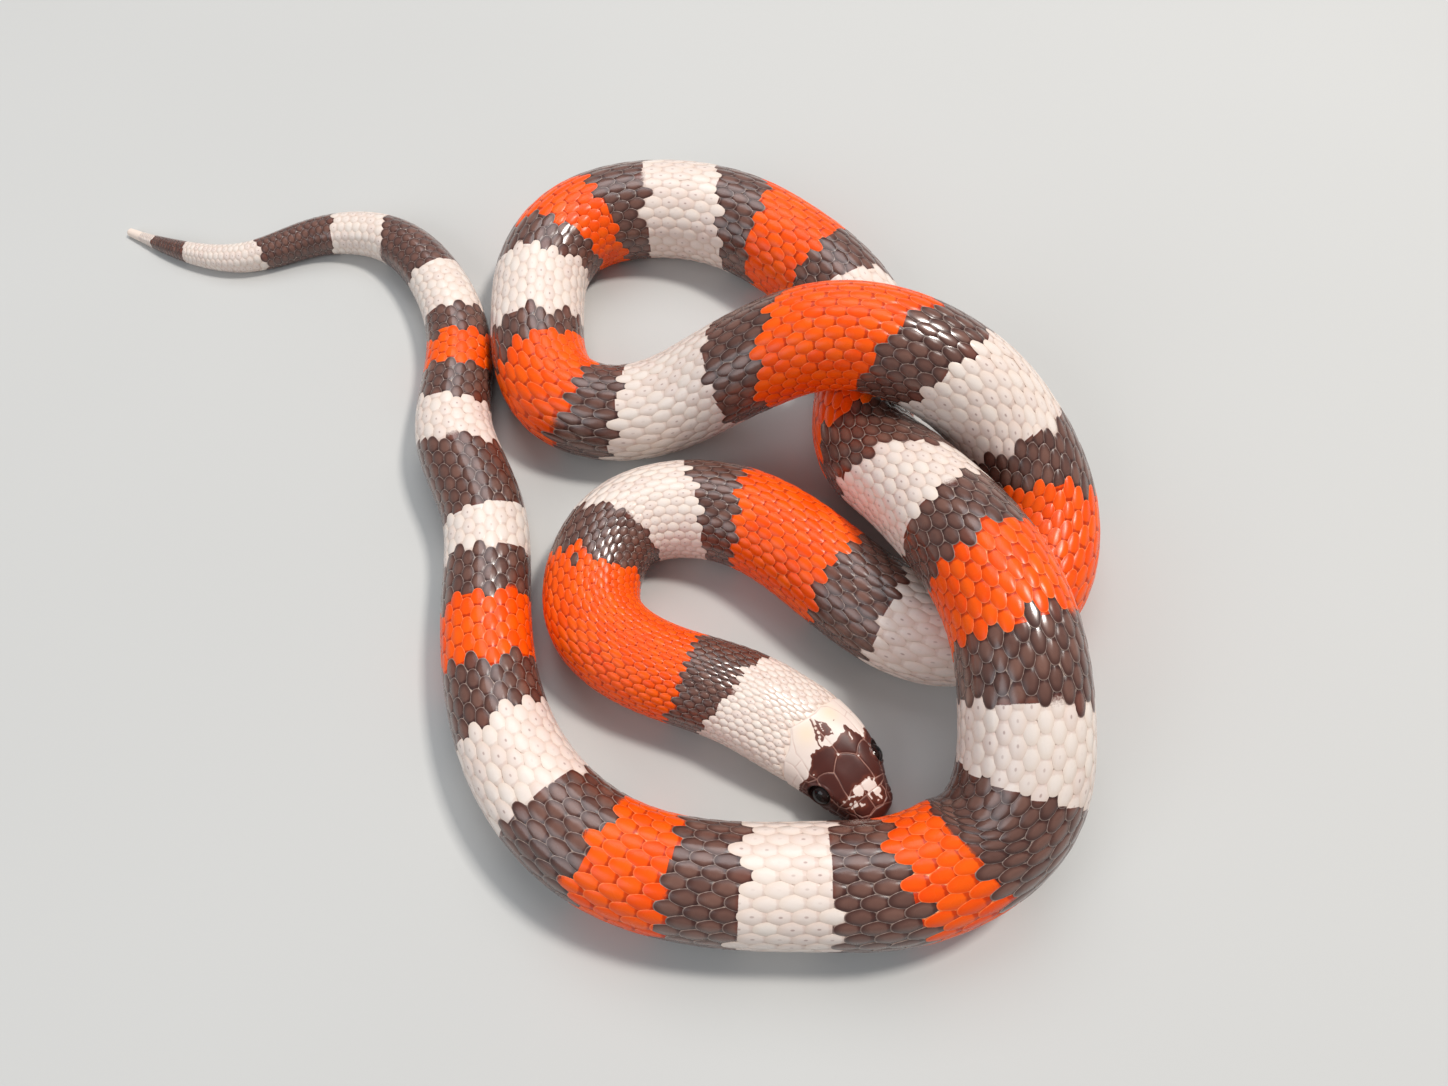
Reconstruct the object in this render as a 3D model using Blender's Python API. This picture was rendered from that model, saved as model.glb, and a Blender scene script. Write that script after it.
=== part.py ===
"""A milk snake as a still, life-size museum model, lying in its coils on a flat floor.

The body follows one smooth line, the route, which crosses over itself twice. A loaf-shaped
section with a flat belly is swept along it, and thin cuts part it into the head, the neck,
twelve lengths of body and two of tail. Sizes are in millimetres and become metres where
the meshes are made. The origin is on the floor under the middle of the whole model.
"""

import math

import bmesh
import bpy
import numpy as np

MM = 0.001

# Cuts between two nodes, and the play of an eye in its socket.
GAP = 0.4
EYE_PLAY = 0.3
# A curve's length is measured in this many steps, and its direction over this far to each side.
CURVE_STEPS = 6000
HEADING_REACH = 0.5
# The height over the floor is averaged over this far to each side, so the body lifts off without a kink.
LIFT_EASE = 8
LIFT_SAMPLES = 17

# Longest step between two rings of the body, and the number of points round one ring.
RING_STEP = 5.6
SIDES = 20

# The belly's depth below the widest level, over the half width.
BELLY = 0.80
# The round flank would reach this far down, but the floor flattens the belly first.
FLANK_DEPTH = 0.90
FLANK_POWER = 2.6

# The belly's line from the tip of the snout to the tip of the tail: x, y and height over the floor.
ROUTE = (
    (60.2, -61.5, 0), (57, -57.4, 0), (51.3, -50.3, 0), (42.9, -44.4, 0), (35.9, -40.5, 0),
    (20.3, -34.8, 0), (8.9, -25.2, 0), (8, -18, 0), (14.4, -5.2, 0), (21.4, -2.6, 0),
    (37.7, -4.8, 0), (56.9, -19.6, 0), (73.1, -28.2, 0), (87.9, -22.4, 0), (94.2, -7.3, 0.3),
    (93.5, -1.1, 1.8), (84.1, 13.2, 9.6), (74.9, 18.7, 16.4), (63.8, 22.9, 19.8), (52.8, 24.8, 19),
    (41.4, 24.1, 13.2), (29.9, 22.4, 5.4), (8.3, 19.9, 0), (-0.5, 23.8, 0), (-7, 45.2, 0),
    (-6.2, 57.8, 0), (0.1, 68, 0), (10.5, 72.7, 0), (35.1, 70, 0), (47.1, 62, 0),
    (62.1, 41.6, 0), (62.9, 30.8, 0), (61.2, 20.1, 0.5), (61.6, 9.5, 2.7), (66.5, -0.1, 7.2),
    (72.3, -11.4, 13.7), (77.6, -22.8, 18.2), (81.2, -34.8, 18.6), (82.5, -46.3, 14.3), (78.8, -64.1, 3.2),
    (61.5, -73, 0), (50.5, -73.6, 0), (30.9, -73.1, 0), (12.5, -67.9, 0), (-2.9, -53.1, 0),
    (-11.9, -21.7, 0), (-14.4, -2.4, 0), (-21.9, 15.6, 0), (-23.3, 36.2, 0), (-29.9, 55, 0),
    (-43.3, 68.6, 0), (-60.3, 69.6, 0), (-74.3, 64.6, 0), (-89.1, 66.6, 0), (-104.3, 73.4, 0),
)

# Half width of the head, then of the body, by the distance from the tip of the snout.
HALF_WIDTH = (
    (0, 3.6), (1.6, 4.0), (3, 4.6), (4.5, 5.1), (6, 5.8), (7.5, 6.4), (9, 6.8), (11, 7.3), (13, 7.8),
    (16, 8.3), (20, 8.9), (28, 9.2), (40, 8.8), (50, 8.7), (70, 9.3), (85, 9.2), (105, 9.8), (150, 9.9),
    (204, 10.8), (248, 10.3), (297, 9.7), (347, 10.0), (367, 10.6), (397, 10.8), (447, 10.2), (497, 10.5),
    (541, 11.3), (586, 10.5), (626, 10.0), (661, 8.6), (691, 8.15), (712, 8.2), (726, 7.2), (748, 6.5),
    (770, 5.6), (793, 4.2), (813, 3.1), (826, 2.2), (834, 1.4), (838, 0.8),
)
# Its corners are rounded over this share of the distance from the snout, between two limits.
WIDTH_EASE = (0.12, 0.3, 6)
# Height of the widest level and of the back over the floor, on the head and the nape.
WIDEST_LEVEL = ((0, 3.7), (3, 3.7), (6, 3.9), (10, 4.3), (14, 4.9), (20, 6.4), (28, 7.3), (40, 7.04))
BACK_LEVEL = (
    (0, 5.4), (1.2, 5.7), (2.2, 6.2), (4.3, 7.3), (6.2, 8.1), (8.5, 8.9), (10.6, 9.4), (12.6, 9.9),
    (14.4, 10.3), (17, 11.0), (20, 11.9), (28, 13.6), (40, 14.5), (50, 14.8),
)
# Past the nape the back stands this far over the widest level, over the half width.
BACK = 0.93
# Where the nape's own widest level and back give way to the body's, and over what length.
WIDEST_TURNOVER = (28, 14)
BACK_TURNOVER = (34, 16)
# The head's tables are rounded over this reach.
HEAD_EASE = 1.0
# The chin's clearance over the floor, and how square the head's roof is (2 is round).
CHIN_LEVEL = ((0, 1.3), (3, 0.9), (6, 0.5), (10, 0.2), (14, 0))
ROOF_POWER = ((0, 2.3), (4, 2.6), (11, 2.7), (16, 2.4), (24, 2.0))
# The nose rounds off over this length; the lower jaw is set back and rounds off over more.
NOSE_LENGTH = 1.7
JAW_LENGTH = 2.9
NOSE_LEVEL = 3.5

# The mouth: height of the line by the distance from the snout, the groove's depth and its half width.
MOUTH_LEVEL = ((0, 2.3), (1, 2.1), (4, 2.2), (8, 2.3), (12, 2.8), (15, 3.5))
MOUTH_EASE = 0.5
MOUTH_START = 0.7
MOUTH_DEEPENS = 0.6
MOUTH_END = 14.2
MOUTH_FADES = 1.5
LIP_DEPTH = 0.40
LIP_HALF = 0.16

# Rings over the round of the nose, in degrees of its quarter circle, and evenly behind it.
NOSE_RINGS = (12, 24, 38, 54, 72)
NOSE_GAP = 0.5
HEAD_RINGS = 18
# Points of one ring on each side, over and under the line of the mouth.
ROOF_POINTS = 10
CHIN_POINTS = 5

# An eye is a slightly flattened ball, given by its place and its half sizes along, across and up.
EYE_ALONG = 9.1
EYE_ACROSS = 5.35
EYE_LEVEL = 5.9
EYE_HALF = (2.0, 1.75, 1.9)
NOSTRIL_ALONG = 2.35
NOSTRIL_LEVEL = 4.6
NOSTRIL_RADIUS = 0.42
NOSTRIL_DEPTH = 0.8
# The nostril's cutter starts this far outside, and widens from the first share of the radius to the second.
NOSTRIL_REACH = 0.7
NOSTRIL_TAPER = (0.7, 1.2)

# Head plates stand this far over the skin, are rooted this deep, and keep a seam between them.
PLATE_RISE = 0.28
PLATE_CROWN = 0.36
PLATE_ROOT = 0.75
SEAM_HALF = 0.11

# The crown's plates on one side, as corners (along, across) seen from above.
CROWN_PLATES = {
    "internasal": ((1.75, 0), (3.9, 0), (3.9, 2.9), (3.0, 3.3), (2.0, 2.8), (1.35, 1.5)),
    "prefrontal": ((3.9, 0), (6.2, 0), (6.2, 2.6), (5.3, 4.6), (4.3, 4.2), (3.9, 2.9)),
    "supraocular": (
        (6.2, 2.6), (8.4, 2.45), (10.5, 2.65), (11.4, 3.4), (12.0, 4.6),
        (11.5, 5.2), (10.4, 5.5), (8.8, 5.5), (7.2, 5.2), (5.3, 4.6),
    ),
    "parietal": (
        (12.6, 0), (15.6, 0), (18.4, 0), (19.2, 1.6), (18.2, 3.6), (15.4, 5.0), (13.2, 5.4), (12.0, 4.6),
        (11.4, 3.4), (10.5, 2.65),
    ),
}
FRONTAL = ((6.2, 0), (6.2, 2.6), (8.4, 2.45), (10.5, 2.65), (12.6, 0))
# The rostral wraps the tip of the snout: its depths in the skin, and corners (along, degrees from the top).
ROSTRAL_ROOT = 0.4
ROSTRAL_CORE = 0.9
ROSTRAL = ((1.75, 0), (1.25, 26), (1.0, 50), (0.95, 75), (0.9, 100), (0.55, 118), (0.3, 145), (0.25, 180))
# Plates on the side of the face, as corners (along, height).
FACE_PLATES = {
    "nasal": ((1.2, 3.6), (3.7, 3.9), (3.7, 5.9), (2.8, 5.7), (1.4, 5.0)),
    "loreal": ((3.7, 3.9), (5.3, 4.0), (5.3, 5.7), (4.3, 6.1), (3.7, 5.9)),
    "preocular": ((5.3, 4.0), (6.7, 4.3), (6.6, 6.2), (6.2, 6.9), (5.3, 5.7)),
    "postocular": ((11.5, 4.6), (12.7, 4.9), (12.9, 7.4), (12.0, 7.6), (11.6, 6.2)),
    "temporal_1": ((12.7, 4.9), (15.4, 5.7), (15.5, 8.3), (12.9, 7.4)),
    "temporal_2": ((15.4, 5.7), (18.2, 6.6), (18.3, 9.6), (15.5, 8.3)),
}
# The lip plates: the edges between them along the jaw, and the border above the upper ones.
LIP_EDGES = (1.2, 2.9, 4.6, 6.4, 8.3, 10.3, 12.3, 14.4)
UPPER_LIP_TOP = ((0, 3.5), (2.9, 3.85), (6.4, 4.0), (9.1, 3.75), (11.5, 4.5), (14.4, 5.3))
LOWER_LIP_DEPTH = 1.15

# The bands, by the distance of each one's front edge from the tip of the snout.
BROWN = "brown"
WHITE = "white"
ORANGE = "orange"
BANDS = (
    (0, BROWN), (14.5, WHITE), (34.8, BROWN), (43.4, ORANGE), (73.8, BROWN), (84.9, WHITE),
    (100.2, BROWN), (109.7, ORANGE), (131.6, BROWN), (144.3, WHITE), (157, BROWN), (169, ORANGE),
    (191.4, BROWN), (205.9, WHITE), (225.5, BROWN), (236.1, ORANGE), (256.7, BROWN), (272.4, WHITE),
    (294.4, BROWN), (303.5, ORANGE), (318.9, BROWN), (325.5, WHITE), (342.6, BROWN), (350.1, ORANGE),
    (361.8, BROWN), (373.1, WHITE), (389.7, BROWN), (400.1, ORANGE), (416.8, BROWN), (426.6, WHITE),
    (438.2, BROWN), (447.3, ORANGE), (460.6, BROWN), (479.3, WHITE), (494.1, BROWN), (505.2, ORANGE),
    (518.2, BROWN), (528.5, WHITE), (543.6, BROWN), (560.5, ORANGE), (572, BROWN), (583.6, WHITE),
    (598.1, BROWN), (610.1, ORANGE), (622.2, BROWN), (634.9, WHITE), (651.3, BROWN), (662.2, ORANGE),
    (675, BROWN), (685, WHITE), (693.7, BROWN), (710, WHITE), (721, BROWN), (729.6, ORANGE),
    (739, BROWN), (745.4, WHITE), (757.8, BROWN), (775.7, WHITE), (788.3, BROWN), (805, WHITE),
    (823, BROWN), (832, WHITE),
)
COLOURS = {BROWN: (0.085, 0.038, 0.032), WHITE: (0.72, 0.62, 0.52), ORANGE: (0.85, 0.12, 0.012)}
SCALE_ROUGHNESS = 0.38
EYE_COLOUR = (0.012, 0.008, 0.007)
EYE_ROUGHNESS = 0.08

# The head ends in the white neck band; every later cut lies on the edge of a band.
HEAD_END = 23
CUTS = (
    ("neck", 73.8), ("body_01", 131.6), ("body_02", 169), ("body_03", 225.5), ("body_04", 272.4),
    ("body_05", 318.9), ("body_06", 373.1), ("body_07", 426.6), ("body_08", 479.3), ("body_09", 528.5),
    ("body_10", 572), ("body_11", 634.9), ("body_12", 721), ("tail_01", 775.7),
)
LAST_LENGTH = "tail_02"


# Curves

def eased(knots, where, reach):
    """Reads a table of (place, value) knots with its corners rounded over the reach to each side."""
    places, values = np.array(knots, float).T
    shares = np.linspace(-1, 1, 9)
    return np.mean([np.interp(where + share * reach, places, values) for share in shares], axis=0)


def natural_spline(points):
    """Gives a function of the distance along a smooth curve through the points, and its length."""
    knots = np.array(points, float)
    chord = np.linalg.norm(np.diff(knots, axis=0), axis=1)
    time = np.concatenate(([0], np.cumsum(chord)))
    count = len(knots)
    system = np.eye(count)
    right = np.zeros_like(knots)
    slope = np.diff(knots, axis=0) / chord[:, None]
    for i in range(1, count - 1):
        system[i, i - 1:i + 2] = (chord[i - 1], 2 * (chord[i - 1] + chord[i]), chord[i])
        right[i] = 6 * (slope[i] - slope[i - 1])
    bend = np.linalg.solve(system, right)

    def at_time(t):
        k = np.clip(np.searchsorted(time, t, side="right") - 1, 0, count - 2)
        step = chord[k][:, None]
        a = (time[k + 1] - t)[:, None] / step
        b = (t - time[k])[:, None] / step
        bow = ((a ** 3 - a) * bend[k] + (b ** 3 - b) * bend[k + 1]) * step ** 2 / 6
        return a * knots[k] + b * knots[k + 1] + bow

    fine = np.linspace(0, time[-1], CURVE_STEPS)
    steps = np.linalg.norm(np.diff(at_time(fine), axis=0), axis=1)
    run = np.concatenate(([0], np.cumsum(steps)))
    return (lambda s: at_time(np.interp(s, run, fine))), run[-1]


route_line, LENGTH = natural_spline(ROUTE)


def belly_line(s):
    """Points of the belly's line, its height kept from dipping under the floor and eased."""
    spread = np.linspace(-LIFT_EASE, LIFT_EASE, LIFT_SAMPLES)
    heights = [np.maximum(route_line(np.clip(s + away, 0, LENGTH))[:, 2], 0) for away in spread]
    return np.column_stack((route_line(s)[:, :2], np.mean(heights, axis=0)))


def half_width(s):
    share, least, most = WIDTH_EASE
    return eased(HALF_WIDTH, s, np.clip(s * share, least, most))


def rounded(s, length):
    """Rises like a quarter circle from 0 at the tip of the snout to 1 at the given length."""
    left = 1 - np.clip(s / length, 0, 1)
    return np.sqrt(1 - left * left)


def turnover(s, span):
    """Rises from 0 to 1 along a span given as its start and its length."""
    start, length = span
    return np.clip((s - start) / length, 0, 1)


def levels(s):
    """Half width, widest level, back, virtual underside and real underside, all over the belly's line."""
    wide = half_width(s)
    flank = turnover(s, WIDEST_TURNOVER)
    widest = eased(WIDEST_LEVEL, s, HEAD_EASE) * (1 - flank) + BELLY * wide * flank
    spine = turnover(s, BACK_TURNOVER)
    back = eased(BACK_LEVEL, s, HEAD_EASE) * (1 - spine) + (BELLY + BACK) * wide * spine
    chin = eased(CHIN_LEVEL, s, HEAD_EASE)
    nose = rounded(s, NOSE_LENGTH)
    jaw = rounded(s, JAW_LENGTH)
    under = chin - (FLANK_DEPTH - BELLY) * wide
    return (
        wide * nose,
        NOSE_LEVEL + (widest - NOSE_LEVEL) * nose,
        NOSE_LEVEL + (back - NOSE_LEVEL) * nose,
        NOSE_LEVEL + (under - NOSE_LEVEL) * jaw,
        NOSE_LEVEL + (chin - NOSE_LEVEL) * jaw,
    )


def outline(s, turn):
    """The section at s: across and up for a turn in radians from the top, both as arrays of one shape."""
    wide, widest, back, under, floor = levels(s)
    roof = 2 / eased(ROOF_POWER, s, HEAD_EASE)
    sine = np.sin(turn)
    cosine = np.cos(turn)
    upper = cosine >= 0
    power = np.where(upper, roof, 2 / FLANK_POWER)
    across = wide * np.sign(sine) * np.abs(sine) ** power
    rise = np.abs(cosine) ** power
    up = np.where(upper, widest + (back - widest) * rise, widest - (widest - under) * rise)
    return across, np.maximum(up, floor)


def frame_at(s):
    """Point of the belly's line, direction to the right, and upward direction, at each s."""
    point = belly_line(s)
    after = np.minimum(s + HEADING_REACH, LENGTH)
    before = np.maximum(s - HEADING_REACH, 0)
    ahead = belly_line(after) - belly_line(before)
    ahead /= np.linalg.norm(ahead, axis=1)[:, None]
    right = np.cross(ahead, (0, 0, 1))
    right /= np.linalg.norm(right, axis=1)[:, None]
    return point, right, np.cross(right, ahead)


def place(s, across, up):
    """World points in mm from places along, across and above the belly's line."""
    point, right, upward = frame_at(s)
    return point + right * across[:, None] + upward * up[:, None]


def surface(s, turn):
    """World points of the skin at each pair of s and turn."""
    across, up = outline(s, turn)
    return place(s, across, up)


# Meshes

def material(name, colour, roughness):
    """A plain Principled material."""
    finish = bpy.data.materials.new(name)
    finish.use_nodes = True
    shader = finish.node_tree.nodes["Principled BSDF"]
    shader.inputs["Base Color"].default_value = (*colour, 1)
    shader.inputs["Roughness"].default_value = roughness
    finish.diffuse_color = (*colour, 1)
    return finish


def add_object(name, points, faces, materials=()):
    """A mesh object from points in mm, its faces turned outwards."""
    mesh = bpy.data.meshes.new(name)
    mesh.from_pydata([tuple(p) for p in np.asarray(points) * MM], [], faces)
    shell = bmesh.new()
    shell.from_mesh(mesh)
    bmesh.ops.recalc_face_normals(shell, faces=shell.faces)
    shell.to_mesh(mesh)
    shell.free()
    for finish in materials:
        mesh.materials.append(finish)
    result = bpy.data.objects.new(name, mesh)
    bpy.context.scene.collection.objects.link(result)
    return result


def tube_faces(rings, count):
    """Quads between rings of the same count of points, and one flat cap at each end."""
    faces = []
    for i in range(rings - 1):
        for j in range(count):
            k = (j + 1) % count
            faces.append((i * count + j, i * count + k, (i + 1) * count + k, (i + 1) * count + j))
    faces.append(tuple(range(count)))
    faces.append(tuple(range((rings - 1) * count, rings * count)))
    return faces


def smooth(item, angle=35):
    item.data.shade_smooth()
    item.data.set_sharp_from_angle(angle=math.radians(angle))


# Neck, body and tail

def ring_places(start, end):
    """Places of the rings of one length: on every band edge inside it, and evenly between them."""
    stops = [start] + [edge for edge, _ in BANDS if start + 1 < edge < end - 1] + [end]
    places = []
    for low, high in zip(stops, stops[1:]):
        parts = math.ceil((high - low) / RING_STEP)
        places += list(np.linspace(low, high, parts + 1)[:-1])
    return np.array(places + [end])


def colour_at(s):
    return [colour for edge, colour in BANDS if edge <= s][-1]


def make_length(name, start, end, finishes):
    """One length of the body, with the colours of its bands on its faces."""
    places = ring_places(start, end)
    turns = np.arange(SIDES) * 2 * math.pi / SIDES
    points = surface(np.repeat(places, SIDES), np.tile(turns, len(places)))
    item = add_object(name, points, tube_faces(len(places), SIDES), list(finishes.values()))
    order = list(finishes)
    middles = (places[1:] + places[:-1]) / 2
    colours = [order.index(colour_at(s)) for s in middles for _ in range(SIDES)]
    colours += [colours[0], colours[-1]]
    item.data.polygons.foreach_set("material_index", colours)
    smooth(item)
    return item


def make_body(finishes):
    start = HEAD_END
    for name, end in CUTS + ((LAST_LENGTH, LENGTH),):
        low = start + GAP / 2
        high = end - GAP / 2 if name != LAST_LENGTH else end
        make_length(name, low, high, finishes)
        start = end


# Head

def turn_at_height(s, height, side):
    """The turn at which the skin has this height, going down the given side (1 right, -1 left)."""
    fine = np.linspace(0.05, math.pi - 0.35, 400)
    _, up = outline(np.full(400, float(s)), fine)
    return side * float(np.interp(-height, -up, fine))


def turn_at_width(s, across):
    """The turn on the roof at which the skin is this far from the middle."""
    fine = np.linspace(0, math.pi / 2, 300)
    reach, _ = outline(np.full(300, float(s)), fine)
    return math.copysign(float(np.interp(abs(across), reach, fine)), across)


def head_ring(s):
    """One ring of the head, with a groove for the mouth: turns and how far each point is pressed in."""
    mouth = float(eased(MOUTH_LEVEL, s, MOUTH_EASE))
    fade = np.clip((s - MOUTH_START) / MOUTH_DEEPENS, 0, 1) * np.clip((MOUTH_END - s) / MOUTH_FADES, 0, 1)
    upper_lip = turn_at_height(s, mouth + LIP_HALF, 1)
    line = turn_at_height(s, mouth, 1)
    lower_lip = turn_at_height(s, mouth - LIP_HALF, 1)
    roof = list(np.linspace(0, upper_lip, ROOF_POINTS))
    chin = list(np.linspace(lower_lip, math.pi, CHIN_POINTS))
    half = roof + [line] + chin
    pressed = [0] * len(roof) + [LIP_DEPTH * fade] + [0] * len(chin)
    turns = half + [-t for t in half[-2:0:-1]]
    return turns, pressed + pressed[-2:0:-1]


def make_skull():
    """The head without its plates: rings from just behind the tip of the snout to the neck's cut."""
    near = NOSE_LENGTH * (1 - np.cos(np.radians(NOSE_RINGS)))
    far = np.linspace(NOSE_LENGTH + NOSE_GAP, HEAD_END - GAP / 2, HEAD_RINGS)
    places = np.concatenate((near, far))
    points = []
    for s in places:
        turns, pressed = head_ring(s)
        count = len(turns)
        across, up = outline(np.full(count, s), np.array(turns))
        across -= np.sign(across) * np.array(pressed)
        points += list(place(np.full(count, s), across, up))
    return add_object("head", points, tube_faces(len(places), count))


def outward(s, turn, distance):
    """Points at a distance over the skin, along its normal."""
    step = 0.05
    along = surface(s + step, turn) - surface(np.maximum(s - step, 0), turn)
    around = surface(s, turn + step) - surface(s, turn - step)
    normal = np.cross(along, around)
    normal /= np.maximum(np.linalg.norm(normal, axis=1), 1e-9)[:, None]
    middle = place(s, np.zeros(len(s)), levels(s)[1])
    base = surface(s, turn)
    facing = np.sign(np.einsum("ij,ij->i", normal, base - middle))
    return base + normal * (facing * distance)[:, None]


def make_plate(name, corners):
    """A plate from corners (s, turn): a low dome over the skin, rooted in it, with a seam round it."""
    corners = np.array(corners, float)
    edge = surface(corners[:, 0], corners[:, 1])
    size = np.mean(np.linalg.norm(edge - edge.mean(axis=0), axis=1))
    centre = corners.mean(axis=0)
    corners = centre + (corners - centre) * (1 - SEAM_HALF / size)
    split = []
    for a, b in zip(corners, np.roll(corners, -1, axis=0)):
        split += [a, (a + b) / 2]
    split = np.array(split)
    top = outward(split[:, 0], split[:, 1], PLATE_RISE)
    root = outward(split[:, 0], split[:, 1], -PLATE_ROOT)
    crown = outward(centre[None, 0], centre[None, 1], PLATE_CROWN)
    return plate_solid(name, top, root, crown, root.mean(axis=0)[None])


def plate_solid(name, top, root, crown, base):
    """A closed solid between a top loop and a root loop, each closed by a fan from its middle."""
    count = len(top)
    points = np.concatenate((top, root, crown, base))
    faces = []
    for i in range(count):
        j = (i + 1) % count
        faces.append((i, j, count + j, count + i))
        faces.append((j, i, 2 * count))
        faces.append((count + i, count + j, 2 * count + 1))
    return add_object(name, points, faces)


def mirrored(corners):
    """The corners of one half carried on round the other side, for a plate on the midline."""
    other = [(s, -turn) for s, turn in reversed(corners) if 1e-6 < abs(turn) < math.pi - 1e-6]
    return list(corners) + other


def crown_plates():
    plates = []
    frontal = [(s, turn_at_width(s, across)) for s, across in FRONTAL]
    plates.append(make_plate("frontal", mirrored(frontal)))
    for name, corners in CROWN_PLATES.items():
        half = [(s, turn_at_width(s, across)) for s, across in corners]
        for side in (1, -1):
            plates.append(make_plate(name, [(s, side * turn) for s, turn in half]))
    return plates


def face_plates():
    """Plates on both sides of the face, and the rows of lip plates above and below the mouth."""
    shapes = dict(FACE_PLATES)
    for number, (low, high) in enumerate(zip(LIP_EDGES, LIP_EDGES[1:])):
        mouth_low, mouth_high = (float(eased(MOUTH_LEVEL, s, MOUTH_EASE)) for s in (low, high))
        top_low, top_high = (float(eased(UPPER_LIP_TOP, s, MOUTH_EASE)) for s in (low, high))
        shapes[f"upper_lip_{number}"] = (
            (low, mouth_low + LIP_HALF), (high, mouth_high + LIP_HALF), (high, top_high), (low, top_low),
        )
        shapes[f"lower_lip_{number}"] = (
            (low, mouth_low - LOWER_LIP_DEPTH), (high, mouth_high - LOWER_LIP_DEPTH),
            (high, mouth_high - LIP_HALF), (low, mouth_low - LIP_HALF),
        )
    plates = []
    for name, corners in shapes.items():
        for side in (1, -1):
            plates.append(make_plate(name, [(s, turn_at_height(s, height, side)) for s, height in corners]))
    return plates


def make_rostral():
    loop = mirrored([(s, math.radians(degrees)) for s, degrees in ROSTRAL])
    s, turn = np.array(loop).T
    tip = place(np.array([0.0]), np.array([0.0]), np.array([NOSE_LEVEL]))
    ahead = tip - place(np.array([1.0]), np.array([0.0]), np.array([NOSE_LEVEL]))
    top = outward(s, turn, PLATE_RISE)
    root = outward(s, turn, -ROSTRAL_ROOT)
    return plate_solid("rostral", top, root, tip + ahead * PLATE_RISE, tip - ahead * ROSTRAL_CORE)


def head_spot(along, across, up):
    return place(np.array([float(along)]), np.array([float(across)]), np.array([float(up)]))[0]


def make_ball(name, centre, half_sizes, segments, rings, materials=()):
    """A ball with its poles across the head, and its own half sizes along, across and up."""
    along = head_spot(EYE_ALONG + 1, 0, 0) - head_spot(EYE_ALONG, 0, 0)
    along /= np.linalg.norm(along)
    across = np.cross(along, (0, 0, 1))
    points = []
    for i in range(1, rings):
        tilt = math.pi * i / rings
        for j in range(segments):
            turn = 2 * math.pi * j / segments
            points.append(
                centre
                + across * half_sizes[1] * math.cos(tilt)
                + along * half_sizes[0] * math.sin(tilt) * math.cos(turn)
                + np.array((0, 0, half_sizes[2])) * math.sin(tilt) * math.sin(turn)
            )
    return add_object(name, points, tube_faces(rings - 1, segments), materials)


def make_nostril(side):
    """A short taper let into the nasal plate."""
    turn = turn_at_height(NOSTRIL_ALONG, NOSTRIL_LEVEL, side)
    place_s = np.array([NOSTRIL_ALONG])
    outer = outward(place_s, np.array([turn]), NOSTRIL_REACH)[0]
    inner = outward(place_s, np.array([turn]), -NOSTRIL_DEPTH)[0]
    axis = (outer - inner) / np.linalg.norm(outer - inner)
    first = np.cross(axis, (0, 0, 1))
    first /= np.linalg.norm(first)
    second = np.cross(axis, first)
    points = []
    for centre, share in zip((inner, outer), NOSTRIL_TAPER):
        for k in range(8):
            angle = math.pi * k / 4
            spoke = first * math.cos(angle) + second * math.sin(angle)
            points.append(centre + NOSTRIL_RADIUS * share * spoke)
    return add_object("nostril", points, tube_faces(2, 8))


def combine(item, pieces, operation):
    """Joins the pieces to the item, or cuts them from it, in one Boolean on a collection."""
    group = bpy.data.collections.new(operation)
    bpy.context.scene.collection.children.link(group)
    for piece in pieces:
        bpy.context.scene.collection.objects.unlink(piece)
        group.objects.link(piece)
    modifier = item.modifiers.new(operation, "BOOLEAN")
    modifier.operation = operation
    modifier.operand_type = "COLLECTION"
    modifier.collection = group
    modifier.solver = "EXACT"
    bpy.context.view_layer.objects.active = item
    bpy.ops.object.modifier_apply(modifier=modifier.name)
    for piece in pieces:
        bpy.data.objects.remove(piece)
    bpy.data.collections.remove(group)


def keep_largest(item):
    """Keeps only the largest closed surface of the mesh."""
    shell = bmesh.new()
    shell.from_mesh(item.data)
    bmesh.ops.remove_doubles(shell, verts=shell.verts, dist=0.001 * MM)
    left = set(shell.verts)
    groups = []
    while left:
        reached = {left.pop()}
        border = set(reached)
        while border:
            border = {e.other_vert(v) for v in border for e in v.link_edges} & left
            reached |= border
            left -= border
        groups.append(reached)
    largest = max(groups, key=len)
    bmesh.ops.delete(shell, geom=[v for v in shell.verts if v not in largest], context="VERTS")
    shell.to_mesh(item.data)
    shell.free()


def make_head(finishes):
    head = make_skull()
    combine(head, crown_plates() + face_plates() + [make_rostral()], "UNION")
    sockets = []
    for side in (1, -1):
        centre = head_spot(EYE_ALONG, side * EYE_ACROSS, EYE_LEVEL)
        larger = [half + EYE_PLAY for half in EYE_HALF]
        sockets.append(make_ball("socket", centre, larger, 16, 10))
        sockets.append(make_nostril(side))
    combine(head, sockets, "DIFFERENCE")
    keep_largest(head)
    head.data.materials.clear()
    head.data.materials.append(finishes[BROWN])
    smooth(head, 25)


def make_eyes():
    finish = material("eye", EYE_COLOUR, EYE_ROUGHNESS)
    for name, side in (("eye_left", 1), ("eye_right", -1)):
        centre = head_spot(EYE_ALONG, side * EYE_ACROSS, EYE_LEVEL)
        smooth(make_ball(name, centre, EYE_HALF, 16, 10, [finish]), 60)


def main():
    for old in list(bpy.data.objects):
        bpy.data.objects.remove(old)
    finishes = {name: material(name, colour, SCALE_ROUGHNESS) for name, colour in COLOURS.items()}
    make_head(finishes)
    make_eyes()
    make_body(finishes)


main()
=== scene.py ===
"""The looks of a milk snake lying in its coils, as a museum model: skin, scales, head plates and eyes.

Lengths are in millimetres until a mesh is made. A place on the animal is its distance s from the tip
of the snout and a turn in radians round the body, from 0 on the back to pi under the belly, positive
on the snake's left side.
"""

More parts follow.
